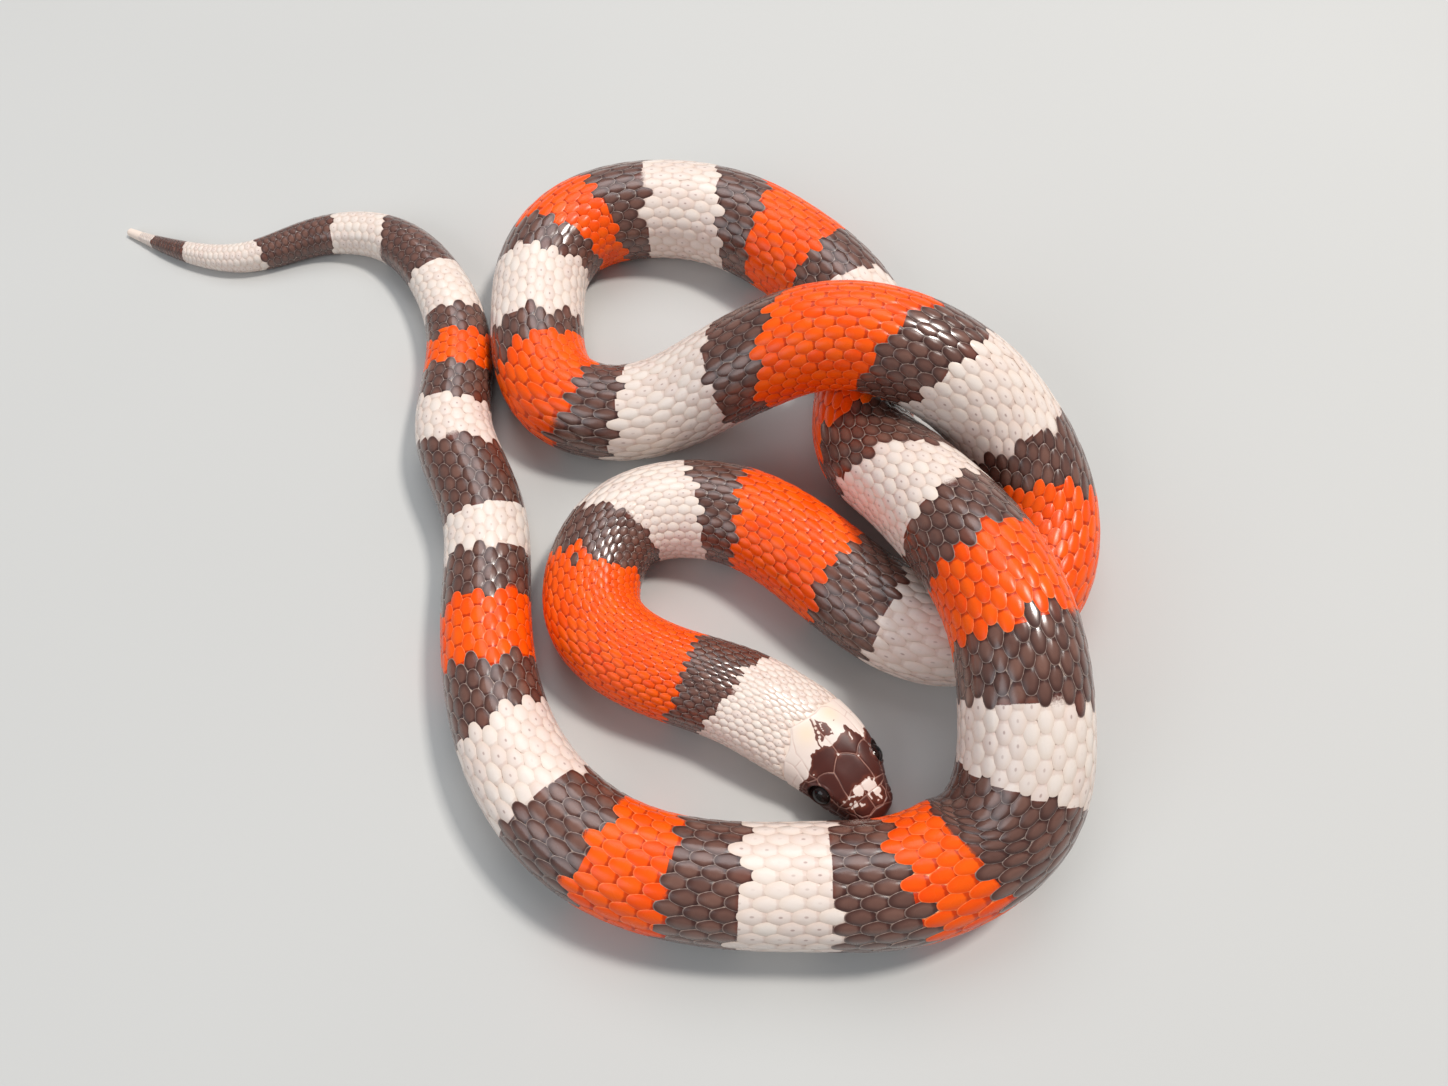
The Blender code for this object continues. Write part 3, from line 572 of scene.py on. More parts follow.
def model_scale():
    """One scale as a shield of radius 1 with rings to its middle, an edge wall and an underside."""
    deselect_all()
    bpy.ops.mesh.primitive_circle_add(vertices=SCALE_SIDES, radius=1, fill_type="NGON", location=(0, 0, -1))
    item = bpy.context.object
    bpy.ops.object.transform_apply(location=True)
    bpy.ops.object.mode_set(mode="EDIT")
    bpy.ops.mesh.select_mode(type="FACE")
    bpy.ops.mesh.select_all(action="SELECT")
    bpy.ops.mesh.extrude_region_move(TRANSFORM_OT_translate={"value": (0, 0, 1)})
    bpy.ops.mesh.inset(thickness=0.12)
    bpy.ops.mesh.inset(thickness=0.36)
    bpy.ops.mesh.poke()
    bpy.ops.mesh.select_all(action="SELECT")
    bpy.ops.mesh.normals_make_consistent(inside=False)
    return pattern_of(item)


def hexagon_stretch(points):
    """Moves the points of the round pattern round it towards the corners of a long hexagon, and gives
    how far each is then drawn out or in to lie on it."""
    angle = np.arctan2(points[:, 1], points[:, 0])
    even = np.linspace(0, math.pi, len(CORNER_ANGLES))
    angle = np.copysign(np.interp(np.abs(angle), even, np.radians(CORNER_ANGLES)), angle)
    radius = np.hypot(points[:, 0], points[:, 1])
    ahead = np.abs(np.cos(angle))
    slant = (np.hypot(ahead, SIDE_ROUNDING) - SIDE_ROUNDING) / (math.hypot(1, SIDE_ROUNDING) - SIDE_ROUNDING)
    end = np.where(np.cos(angle) > 0, REAR_END, FRONT_END)
    side = np.abs(np.sin(angle)) + (1 - end) * slant
    size = (ahead ** CORNER_POWER + side ** CORNER_POWER) ** (1 / CORNER_POWER)
    return radius * np.cos(angle), radius * np.sin(angle), 1 / size


def scale_places():
    """Every scale of the lattice: its s, lane, period and the distance between two rows."""
    sites = []
    s = SCALES_START
    while s < SCALES_END:
        period = float(period_at(np.array([s]))[0])
        half = float(np.interp(s, *np.array(ROW_COUNTS).T)) / 2
        growth = float(np.interp(s, *np.array(ROW_GROWTH).T))
        for row in range(-int(half) - 1, int(half) + 2):
            share = abs(row) / half
            lane = (share + growth * share * share / 2) / (1 + growth / 2)
            spacing = (1 + growth * share) / (1 + growth / 2) / half
            if lane < LAST_LANE:
                sites.append((s + period / 2 * (row % 2), math.copysign(lane, row), period, spacing))
        s += period
    return np.array(sites)


def lay_scales(finish):
    """Copies the scale to every place of the lattice, in a few joined pieces."""
    pattern, faces = model_scale()
    sites = scale_places()
    sites[:, 0] += dice.normal(0, 0.02, len(sites)) * sites[:, 2]
    sites[:, 1] += dice.normal(0, 0.03, len(sites)) * sites[:, 3]
    turns = read_turns(FLANK_TURNS, sites[:, 0], sites[:, 1], LANE_REACH)
    border = np.interp(arc_at(sites[:, 0], turns), *np.array(SCALE_BORDER).T)
    sites = sites[sites[:, 0] > border + 0.25 * sites[:, 2]]
    limits = [start for _, start in SCALE_PIECES] + [LENGTH]
    for (name, low), high in zip(SCALE_PIECES, limits[1:]):
        chosen = sites[(sites[:, 0] >= low) & (sites[:, 0] < high)]
        lay_piece(name, chosen, pattern, faces, finish)


def lay_piece(name, sites, pattern, faces, finish):
    round_along, round_across, stretch = hexagon_stretch(pattern)
    level = pattern[:, 2]
    along = round_along * stretch
    across = round_across * stretch
    radius = np.hypot(round_along, round_across)
    dome = DOME * (1 - radius ** DOME_POWER)
    count = len(sites)
    size = len(along)
    grow = dice.normal(1, 0.025, count)[:, None]
    lift = np.clip(dice.normal(0, 0.05, count), -0.1, 0.06)[:, None]
    seeds = dice.random(count)
    turn0 = read_turns(FLANK_TURNS, sites[:, 0], sites[:, 1], LANE_REACH)
    near_orange = np.abs(colour_marks(sites[:, 0], turn0)[:, 1]) < 2.2
    is_split = dice.random(count) < np.where(near_orange, 0.20, 0.30)
    is_stray = near_orange & ~is_split & (dice.random(count) < STRAY_SHARE)
    smear = np.where(is_split, 1.0, 0.08)[:, None]
    nudge = np.clip(dice.normal(0, 1, count), -1.2, 1.2)
    nudge = (nudge * np.where(is_stray, 0.7, np.where(is_split, 0.03, 0.13)))[:, None]
    pulled = length_ratio(sites[:, 0], *outline(sites[:, 0], turn0)) / spine_ratio(sites[:, 0])
    pulled = np.clip(pulled, 0.3, 2)[:, None]
    s0, lane0, period, spacing = (column[:, None] for column in sites.T)
    s = s0 + along * SCALE_HALF_LENGTH * period * grow * pulled ** -STIFFNESS
    lane = lane0 + across * (1 - 0.08 * along) * SCALE_HALF_WIDTH * spacing * grow
    s = np.clip(s, 0.2, LENGTH - 0.05)
    turn = read_turns(FLANK_TURNS, s.ravel(), lane.ravel(), LANE_REACH).reshape(s.shape)
    depth = depth_at(s0)
    reach = s0 + smear * (s - s0) + (nudge + SHOWING_MIDDLE * (1 - smear)) * period
    marks = colour_marks(reach.ravel(), np.repeat(turn0, size))
    own = colour_marks(s0.ravel(), turn0)
    flat = np.where(own[:, 0] > 0, 1, np.where(own[:, 1] > 0, ORANGE_RELIEF, WHITE_RELIEF))[:, None]
    crowded = np.sqrt(np.minimum(pulled, 1))
    edge = (FRONT_EDGE + REAR_EDGE) / 2 + (REAR_EDGE - FRONT_EDGE) / 2 * along / crowded
    top = edge + dome * crowded + lift * (1 - radius)
    top = REAR_EDGE + (top - REAR_EDGE) * flat
    height = np.where(level < -0.5, -SUNK, top) * depth + rise_at(s0, turn0[:, None])
    points = raised(s.ravel(), turn.ravel(), np.broadcast_to(height, s.shape).ravel())
    shapes = [tuple(np.array(face[::-1]) + i * size) for i in range(count) for face in faces]
    piece = add_piece(name, points, shapes, finish)
    piece.data.set_sharp_from_angle(angle=math.radians(50))
    set_points(piece, "marks", "FLOAT_VECTOR", np.column_stack((marks, warmth(s.ravel(), turn.ravel()))))
    cell = np.column_stack((np.tile(round_along, count), np.tile(round_across, count), np.repeat(seeds, size)))
    set_points(piece, "cell", "FLOAT_VECTOR", cell)
    root = np.column_stack((sites[:, 0] / LENGTH, 0.5 + turn0 / (2.1 * math.pi)))
    patch = np.column_stack((along, across)) * PATCH / 2
    set_bake_map(piece, (root[:, None] + patch[None]).reshape(-1, 2))
    dress(piece, "body_scales")


def warmth(s, turn):
    """Where white skin is yellower: a soft spot on the rear of each parietal plate."""
    arc = arc_at(s, turn)
    spots = ((18.7, -1.3, 1.9), (17.6, 4.3, 1.6))
    return np.clip(sum(np.exp(-((s - a) ** 2 + (arc - b) ** 2) / r ** 2) for a, b, r in spots), 0, 1)


# Belly plates

PLATE_ROWS = 3
PLATE_COLUMNS = 16
PLATE_OVERLAP = 0.22
VENT = 723
PLATE_PATCH = (0.004, 0.5)


def model_belly_plate():
    """One belly plate as a flat slab from -1 to 1 each way, divided across and along."""
    deselect_all()
    bpy.ops.mesh.primitive_grid_add(
        x_subdivisions=PLATE_ROWS, y_subdivisions=PLATE_COLUMNS, size=2, location=(0, 0, -1)
    )
    item = bpy.context.object
    bpy.ops.object.transform_apply(location=True)
    bpy.ops.object.mode_set(mode="EDIT")
    bpy.ops.mesh.select_mode(type="FACE")
    bpy.ops.mesh.select_all(action="SELECT")
    bpy.ops.mesh.extrude_region_move(TRANSFORM_OT_translate={"value": (0, 0, 1)})
    bpy.ops.mesh.select_all(action="SELECT")
    bpy.ops.mesh.normals_make_consistent(inside=False)
    return pattern_of(item)


def plate_places():
    """Each belly plate's s, period and span: the whole belly, or one side of it under the tail."""
    places = []
    s = 14.0
    side = 1
    while s < SCALES_END - 1:
        period = float(period_at(np.array([s]))[0])
        if s < VENT:
            places.append((s, period, -1.0, 1.0))
        else:
            places.append((s, period, -1.0, 0.03))
            places.append((s + period / 2, period, -0.03, 1.0))
        s += period
    return np.array(places)


def lay_belly_plates(finish):
    pattern, faces = model_belly_plate()
    along, across, level = pattern.T
    places = plate_places()
    count = len(places)
    size = len(along)
    s0, period, left, right = (column[:, None] for column in places.T)
    middle = (left + right) / 2
    half = (right - left) / 2
    bow = 0.22 * (1 - across ** 2) * period
    s = s0 + along * (0.5 + PLATE_OVERLAP / 2) * period + bow - 0.1 * period
    s = np.clip(s, 0.3, LENGTH - 0.05)
    share = middle + across * half
    turn = read_turns(UNDER_TURNS, s.ravel(), share.ravel()).reshape(s.shape)
    depth = depth_at(s0)
    slope = -0.75 + 0.70 * (along + 1) / 2
    height = np.where(level < -0.5, -SUNK, slope) * depth
    height = np.broadcast_to(height, s.shape)
    points = raised(s.ravel(), turn.ravel(), height.ravel())
    shapes = [tuple(np.array(face) + i * size) for i in range(count) for face in faces]
    piece = add_piece("belly_plates", points, shapes, finish)
    piece.data.set_sharp_from_angle(angle=math.radians(50))
    marks = colour_marks((s0 + 0 * s).ravel(), turn.ravel())
    set_points(piece, "marks", "FLOAT_VECTOR", np.column_stack((marks, np.zeros(len(marks)))))
    seeds = np.repeat(dice.random(count), size)
    cell = np.column_stack((np.tile(along, count), np.tile(across, count), seeds))
    set_points(piece, "cell", "FLOAT_VECTOR", cell)
    u = s0 / LENGTH + along * PLATE_PATCH[0] / 2 * 0.7
    v = 0.5 + share * PLATE_PATCH[1] / 2
    set_bake_map(piece, np.column_stack((np.broadcast_to(u, s.shape).ravel(), v.ravel())))
    dress(piece, "body_scales")


# Head

# Middle of the eyeball, its half sizes (along, out, up), how far it looks up, and its opening (along, up).
EYE_ALONG = 9.2
EYE_ACROSS = 5.6
EYE_LEVEL = 6.05
EYE_HALF = (2.1, 1.8, 2.0)
EYE_TILT = math.radians(33)
EYE_OPENING = (1.85, 1.66)
NOSTRIL = (2.35, 4.6)
NOSTRIL_RADIUS = 0.42

MOUTH_LEVEL = ((0, 2.3), (1, 2.1), (4, 2.2), (8, 2.3), (12, 2.8), (15, 3.5))
MOUTH_EASE = 0.5
MOUTH_START = 0.25
MOUTH_END = 14.2

# Seams between the plates on one side of the crown, as corners (along, arc from the top).
CROWN_SEAMS = (
    ((1.5, 0), (4.2, 0), (6.2, 0)),
    ((1.5, 0), (1.3, 1.4), (1.9, 2.8), (3.0, 3.4), (4.2, 3.2), (4.6, 4.4), (5.4, 5.3)),
    ((4.2, 0), (4.15, 1.6), (4.2, 3.2)),
    ((6.2, 0), (6.2, 1.9), (5.5, 2.9), (5.45, 4.0), (5.4, 5.3)),
    ((5.5, 2.9), (7.0, 2.95), (8.6, 2.75), (10.3, 2.6), (12.27, 0)),
    ((10.3, 2.6), (11.0, 3.4), (11.4, 4.1), (11.6, 5.0), (11.5, 5.55)),
    ((5.4, 5.3), (7.3, 5.6), (9.3, 5.75), (10.9, 5.75), (11.5, 5.55)),
    ((11.5, 5.55), (12.3, 7.2)),
)
# Seams of the large plates behind them, on both sides, where the nape turns a little to the left.
NAPE_SEAMS = (
    ((12.27, 0), (13.9, 0.2), (15.6, 0.3), (17.3, 0.4), (18.6, 0.8), (19.8, 1.4)),
    (
        (11.5, -5.55), (13.0, -6.1), (14.6, -5.7), (16.6, -5.3), (18.2, -5.1), (19.1, -4.4), (20.0, -3.7),
        (20.9, -2.6), (21.4, -1.9), (21.0, -1.2), (20.5, -0.2), (19.8, 1.4),
    ),
    (
        (11.5, 5.55), (12.6, 5.9), (14.5, 6.0), (16.8, 5.8), (18.4, 5.2), (19.2, 4.3), (19.3, 2.7), (19.8, 1.4),
    ),
    ((12.3, -7.2), (13.3, -7.6), (14.5, -7.5), (16.5, -7.1), (17.6, -7.0), (19.2, -7.3)),
    ((16.6, -5.3), (16.9, -7.1)),
    ((12.3, 7.2), (13.3, 7.6), (14.5, 7.5), (16.5, 7.2), (18.2, 7.3)),
    ((15.6, 5.9), (15.9, 7.3)),
)
# Seams on the side of the face, as corners (along, height).
FACE_SEAMS = (
    ((1.2, 3.6), (3.7, 3.9), (5.3, 4.0), (6.7, 4.3)),
    ((3.7, 3.9), (3.7, 5.9)),
    ((2.35, 3.75), (2.35, 5.4)),
    ((5.3, 4.0), (5.3, 5.7), (6.2, 6.9)),
    ((1.3, 5.0), (2.8, 5.8), (3.7, 5.9), (4.3, 6.1), (5.3, 5.7)),
    ((11.3, 5.9), (12.9, 6.2)),
    ((11.5, 4.6), (12.7, 4.9), (15.4, 5.7), (17.8, 6.5)),
    ((12.7, 4.9), (12.9, 7.4)),
    ((15.4, 5.7), (15.5, 8.3)),
)
LIP_EDGES = (1.2, 2.9, 4.6, 6.4, 8.3, 10.3, 12.3, 14.4)
UPPER_LIP_TOP = ((0, 3.5), (2.9, 3.85), (6.4, 4.0), (9.1, 3.75), (11.5, 4.5), (14.4, 5.3))
LOWER_LIP_DEPTH = 1.15
ROSTRAL_SEAM = ((1.75, 0), (1.25, 26), (1.0, 50), (0.95, 75), (0.9, 100), (0.55, 112))
# Seams under the chin, as corners (along, degrees from the top).
CHIN_SEAMS = (
    ((0.6, 180), (4.2, 180), (8.6, 180), (12.5, 180)),
    ((2.2, 150), (4.4, 158), (4.2, 180)),
    ((4.4, 158), (8.2, 156), (8.6, 180)),
    ((8.2, 156), (11.8, 163), (12.5, 180)),
)
SEAM_STEP = 0.06
SEAM_REACH = 2.0
SEAM_DEPTH = 0.13
SEAM_HALF = 0.11
PLATE_ROUNDING = 0.06
# Seams are shallower on the nape, behind this place.
NAPE_START = 13.5
NAPE_SHALLOW = 0.7

HEAD_END = 27.0
HEAD_SIDES = 300
# How far the head's points are drawn together towards its top.
SIDES_DRAWN_UP = 0.35
BODY_SIDES = 36
BODY_STEP = 2.4
HEAD_PART = 0.60


def turn_at_height(s, height):
    """The turn at which the surface has this height, going down the side."""
    fine = np.linspace(0.05, math.pi - 0.35, 400)
    _, up = outline(np.full(400, float(s)), fine)
    return float(np.interp(-height, -up, fine))


def turn_at_arc(s, arc):
    """The turn at a signed distance round from the top."""
    fine = np.linspace(0, math.pi, 600)
    return math.copysign(float(np.interp(abs(arc), arc_at(np.full(600, float(s)), fine), fine)), arc)


def head_spot(along, across, up):
    return place(np.array([float(along)]), np.array([float(across)]), np.array([float(up)]))[0]


def along_lines(lines, mirrored=True):
    """Points at a close step along lines of (s, turn) corners, on both sides of the head if mirrored."""
    found = []
    for line in lines:
        corners = np.array(line, float)
        ends = surface(corners[:, 0], corners[:, 1])
        for a, b, p, q in zip(corners, corners[1:], ends, ends[1:]):
            count = max(2, int(np.linalg.norm(q - p) / SEAM_STEP))
            found.append(a + (b - a) * np.linspace(0, 1, count)[:, None])
    s, turn = np.concatenate(found).T
    return np.concatenate((surface(s, turn), surface(s, -turn))) if mirrored else surface(s, turn)


def distance_to(points, marks):
    """Distance from each point to the nearest mark."""
    tree = kdtree.KDTree(len(marks))
    for i, mark in enumerate(marks):
        tree.insert(mark, i)
    tree.balance()
    return np.array([tree.find(point)[2] for point in points])


def crown_lines(seams):
    return [[(s, turn_at_arc(s, arc)) for s, arc in line] for line in seams]


def face_lines():
    """Seams of the face and lips, and round the chin."""
    lines = [[(s, turn_at_height(s, height)) for s, height in line] for line in FACE_SEAMS]
    lip = [(s, float(eased(UPPER_LIP_TOP, s, MOUTH_EASE))) for s in LIP_EDGES]
    lines.append([(s, turn_at_height(s, height)) for s, height in lip])
    low = []
    for s, top in lip:
        mouth = float(eased(MOUTH_LEVEL, s, MOUTH_EASE))
        lines.append([(s, turn_at_height(s, top)), (s + 0.25, turn_at_height(s, mouth))])
        bottom = turn_at_height(s, max(mouth - LOWER_LIP_DEPTH, 0.9))
        lines.append([(s, turn_at_height(s, mouth)), (s, bottom)])
        low.append((s, bottom))
    lines.append(low)
    lines.append([(s, math.radians(degrees)) for s, degrees in ROSTRAL_SEAM])
    lines += [[(s, math.radians(degrees)) for s, degrees in line] for line in CHIN_SEAMS]
    return lines


def mouth_line():
    places = np.linspace(MOUTH_START, MOUTH_END, 60)
    return [[(s, turn_at_height(s, float(eased(MOUTH_LEVEL, s, MOUTH_EASE)))) for s in places]]


def mound(s, turn, centre, reach, height):
    """A soft rise or hollow on both sides of the head, round a place (s, degrees)."""
    away = ((s - centre[0]) / reach[0]) ** 2 + ((np.degrees(np.abs(turn)) - centre[1]) / reach[1]) ** 2
    return height * np.exp(-away)


def eye_axes(side):
    """Middle of an eyeball, with its directions outwards, to the front and upwards."""
    centre = head_spot(EYE_ALONG, side * EYE_ACROSS, EYE_LEVEL)
    level = head_spot(EYE_ALONG, side * (EYE_ACROSS + 1), EYE_LEVEL) - centre
    fore = np.cross(level, (0, 0, 1))
    out = level * math.cos(EYE_TILT) + np.array((0, 0, math.sin(EYE_TILT)))
    return centre, out, fore, np.cross(fore, out)


def shape_head(s, turn):
    """Heights over the solids' surface on the head, with distances to seams, the strength of the painted shade in the
    pits (mouth line, nostrils, round the eyes) and the bed of the scales.
    """
    points = surface(s, turn)
    crown_marks = np.concatenate((along_lines(crown_lines(CROWN_SEAMS)), along_lines(crown_lines(NAPE_SEAMS), False)))
    crown = distance_to(points, crown_marks)
    face = distance_to(points, along_lines(face_lines()))
    mouth = distance_to(points, along_lines(mouth_line()))
    seam = np.minimum(crown, face)
    groove = SEAM_DEPTH * np.exp(-(seam / SEAM_HALF) ** 2) + PLATE_ROUNDING * np.exp(-seam / 0.45)
    rise = rise_at(s, turn)
    height = rise - groove * (1 - NAPE_SHALLOW * np.clip((s - NAPE_START) / 1.5, 0, 1))
    height += mound(s, turn, (4.9, 68), (1.5, 9), -0.22)
    height += mound(s, turn, (8.4, 44), (2.6, 7), 0.16)
    height += mound(s, turn, (13.2, 92), (3.0, 22), 0.16)
    height += mound(s, turn, (6.5, 103), (5.0, 7), 0.12)
    height += mound(s, turn, (10.2, 0), (3.4, 9), -0.10)
    height -= 0.42 * np.exp(-(mouth / 0.17) ** 2)
    # Painted shade for the pits: along the mouth line here, then round each eye and in each nostril.
    pit_shade = np.exp(-(mouth / 0.15) ** 2) * (s > 0.2)
    for side in (1, -1):
        centre, out, fore, up = eye_axes(side)
        offset = points - centre
        ring = np.hypot(offset @ fore / EYE_OPENING[0], offset @ up / EYE_OPENING[1])
        near = (offset @ out > -0.6)
        sink = np.clip((1.04 - ring) / 0.12, 0, 1)
        height = np.where(near, height - 1.3 * sink + 0.14 * np.exp(-((ring - 1.16) / 0.10) ** 2), height)
        height = np.where(near, height - 0.08 * np.exp(-((ring - 1.38) / 0.06) ** 2), height)
        low = np.clip(-(offset @ up) / EYE_OPENING[1] - 0.2, 0, 1)
        height = np.where(near, height + 0.30 * low * np.exp(-((ring - 1.22) / 0.16) ** 2), height)
        pit_shade = np.where(near, np.maximum(pit_shade, 0.85 * np.clip((1.22 - ring) / 0.16, 0, 1)), pit_shade)
        nostril = surface(np.array([NOSTRIL[0]]), np.array([side * turn_at_height(*NOSTRIL)]))[0]
        away = np.linalg.norm(points - nostril, axis=1)
        height += 0.10 * np.exp(-((away - 0.62) / 0.2) ** 2) - 0.75 * np.exp(-(away / 0.36) ** 4)
        pit_shade = np.maximum(pit_shade, np.exp(-(away / 0.40) ** 4))
    border = np.interp(arc_at(s, turn), *np.array(SCALE_BORDER).T)
    bed = np.clip((s - border) / 0.25, 0, 1)
    under = rise - BED * depth_at(s)
    height = height * (1 - bed) + under * bed
    return height, np.minimum(crown, SEAM_REACH), np.minimum(face, SEAM_REACH), pit_shade, bed


def skin_rings():
    """Places of the skin's rings: close on the head, wide apart under the scales of the body."""
    nose = NOSE_LENGTH * (1 - np.cos(np.linspace(0.03, math.pi / 2, 30)))
    crown = np.arange(NOSE_LENGTH + 0.085, 13.0, 0.085)
    head = np.concatenate((nose, crown, np.arange(13.0, 21.8, 0.10), np.arange(21.9, HEAD_END, 0.25)))
    body = np.arange(HEAD_END + 0.6, LENGTH - 0.2, BODY_STEP)
    return head, np.concatenate((body, [LENGTH - 0.1, LENGTH]))


def make_skin(finish):
    """One skin from the snout to the tip of the tail, with the head's plates in its own surface."""
    head, body = skin_rings()
    shares = np.linspace(-1, 1, HEAD_SIDES, endpoint=False)
    shares -= SIDES_DRAWN_UP * np.sin(math.pi * shares) / math.pi
    wide_shares = np.linspace(-1, 1, BODY_SIDES, endpoint=False)
    head_s = np.repeat(head, HEAD_SIDES)
    body_s = np.repeat(body, BODY_SIDES)
    head_turn = read_turns(WHOLE_TURNS, head_s, np.tile(shares, len(head)))
    body_turn = read_turns(WHOLE_TURNS, body_s, np.tile(wide_shares, len(body)))
    height, crown, face, pit_shade, bed = shape_head(head_s, head_turn)
    body_height = rise_at(body_s, body_turn) - BED * depth_at(body_s)
    s = np.concatenate((head_s, body_s))
    turn = np.concatenate((head_turn, body_turn))
    points = raised(s, turn, np.concatenate((height, body_height)))
    tip = head_spot(0, 0, NOSE_LEVEL) + HEAD_RISE * (head_spot(0, 0, NOSE_LEVEL) - head_spot(1, 0, NOSE_LEVEL))
    end = surface(np.array([LENGTH]), np.array([0.0]))[0] * (1, 1, 0.5)
    points = np.concatenate((points, tip[None], end[None]))
    first_body = len(head) * HEAD_SIDES
    faces = ring_faces(0, len(head), HEAD_SIDES) + ring_faces(first_body, len(body), BODY_SIDES)
    faces += joining_faces(first_body - HEAD_SIDES, HEAD_SIDES, first_body, BODY_SIDES)
    last = first_body + (len(body) - 1) * BODY_SIDES
    nose_pole = len(points) - 2
    faces += [((j + 1) % HEAD_SIDES, j, nose_pole) for j in range(HEAD_SIDES)]
    faces += [(last + j, last + (j + 1) % BODY_SIDES, nose_pole + 1) for j in range(BODY_SIDES)]
    piece = add_piece("skin", points, faces, finish)
    piece.data.flip_normals()
    zeros = np.zeros(len(body_s))
    tail = [0, 0]
    marks = np.column_stack((colour_marks(s, turn), warmth(s, turn)))
    ends = [(MARKS_REACH, -MARKS_REACH, 0), (-MARKS_REACH, -MARKS_REACH, 0)]
    set_points(piece, "marks", "FLOAT_VECTOR", np.concatenate((marks, ends)))
    far = zeros + SEAM_REACH
    # The third of the lines carries the painted shade of the pits.
    lines = [np.concatenate((values, rest, tail)) for values, rest in ((crown, far), (face, far), (pit_shade, zeros))]
    set_points(piece, "lines", "FLOAT_VECTOR", np.column_stack(lines))
    set_points(piece, "bed", "FLOAT", np.concatenate((bed, zeros + 1, [0, 1])))
    u = np.where(s < HEAD_END + 0.1, s / HEAD_END * HEAD_PART, HEAD_PART + 0.01 + (s - HEAD_END) / LENGTH * (0.98 - HEAD_PART))
    v = 0.5 + turn / (2.04 * math.pi)
    set_bake_map(piece, np.concatenate((np.column_stack((u, v)), [(0, 0.5), (0.99, 0.5)])))
    dress(piece, "head_scales", "head", "neck", *BODY_NODES)


def ring_faces(first, rings, count):
    """Quads between rings of the same count of points."""
    faces = []
    for i in range(rings - 1):
        low = first + i * count
        for j in range(count):
            k = (j + 1) % count
            faces.append((low + j, low + k, low + count + k, low + count + j))
    return faces


def joining_faces(fine, fine_count, coarse, coarse_count):
    """Faces from a ring of many points to one of few."""
    share = fine_count // coarse_count
    rest = fine_count - share * coarse_count
    faces = []
    j = 0
    for k in range(coarse_count):
        here = share + (1 if k < rest else 0)
        for _ in range(here):
            faces.append((fine + j, fine + (j + 1) % fine_count, coarse + k))
            j += 1
        faces.append((coarse + k, fine + j % fine_count, coarse + (k + 1) % coarse_count))
    return faces


# Eyes

def make_eye(name, node, side, finish):
    """A polished ball, with the angle from its outward axis kept on its points for the iris."""
    centre, out, fore, up = eye_axes(side)
    heading = math.atan2(out[1], out[0])
    deselect_all()
    bpy.ops.mesh.primitive_uv_sphere_add(
        segments=48, ring_count=32, radius=MM, location=centre * MM, rotation=(0, math.pi / 2 - EYE_TILT, heading)
    )
    eye = bpy.context.object
    eye.name = name
    half_along, half_out, half_up = EYE_HALF
    eye.scale = (half_up, half_along, half_out)
    bpy.ops.object.transform_apply(location=True, rotation=True, scale=True)
    bpy.ops.object.shade_smooth()
    eye.data.materials.append(finish)
    points = np.array([v.co for v in eye.data.vertices]) / MM - centre
    ring = np.hypot(points @ fore / half_along, points @ up / half_up)
    ring = np.where(points @ out > 0, ring, 1.5)
    set_points(eye, "iris", "FLOAT_VECTOR", np.column_stack((ring, points @ fore, points @ up)))
    eye.data.uv_layers[0].name = "OFBake"
    dress(eye, "eye", node)


# Finishes

def new_group(name, inputs, outputs):
    """A node group with named sockets; gives the tree and its two end nodes."""
    tree = bpy.data.node_groups.new(name, "ShaderNodeTree")
    for socket, kind, value in inputs:
        made = tree.interface.new_socket(socket, in_out="INPUT", socket_type=kind)
        if value is not None:
            made.default_value = value
    for socket, kind in outputs:
        tree.interface.new_socket(socket, in_out="OUTPUT", socket_type=kind)
    return tree, tree.nodes.new("NodeGroupInput"), tree.nodes.new("NodeGroupOutput")


def math_node(tree, operation, first, second=None, clamp=False):
    node = tree.nodes.new("ShaderNodeMath")
    node.operation = operation
    node.use_clamp = clamp
    for socket, value in zip(node.inputs, (first, second)):
        if isinstance(value, (int, float)):
            socket.default_value = value
        elif value is not None:
            tree.links.new(value, socket)
    return node.outputs[0]


def mix_colours(tree, share, first, second, blend="MIX"):
    node = tree.nodes.new("ShaderNodeMix")
    node.data_type = "RGBA"
    node.blend_type = blend
    for socket, value in zip((node.inputs[0], node.inputs[6], node.inputs[7]), (share, first, second)):
        if isinstance(value, (int, float)):
            socket.default_value = value
        elif isinstance(value, tuple):
            socket.default_value = (*value, 1)
        else:
            tree.links.new(value, socket)
    return node.outputs[2]


def span(tree, value, low, high, to_low=0.0, to_high=1.0):
    """Maps a value smoothly from one range to another."""
    node = tree.nodes.new("ShaderNodeMapRange")
    node.interpolation_type = "SMOOTHSTEP"
    tree.links.new(value, node.inputs["Value"])
    node.inputs["From Min"].default_value = low
    node.inputs["From Max"].default_value = high
    node.inputs["To Min"].default_value = to_low
    node.inputs["To Max"].default_value = to_high
    return node.outputs["Result"]


def noise(tree, scale, detail=3.0):
    """Noise on the object's own coordinates, with its size in lumps per metre."""
    place_node = tree.nodes.new("ShaderNodeTexCoord")
    node = tree.nodes.new("ShaderNodeTexNoise")
    node.inputs["Scale"].default_value = scale
    node.inputs["Detail"].default_value = detail
    tree.links.new(place_node.outputs["Object"], node.inputs["Vector"])
    return node.outputs["Fac"]


def attribute(tree, name):
    node = tree.nodes.new("ShaderNodeAttribute")
    node.attribute_name = name
    return node


def split(tree, vector):
    node = tree.nodes.new("ShaderNodeSeparateXYZ")
    tree.links.new(vector, node.inputs[0])
    return node.outputs


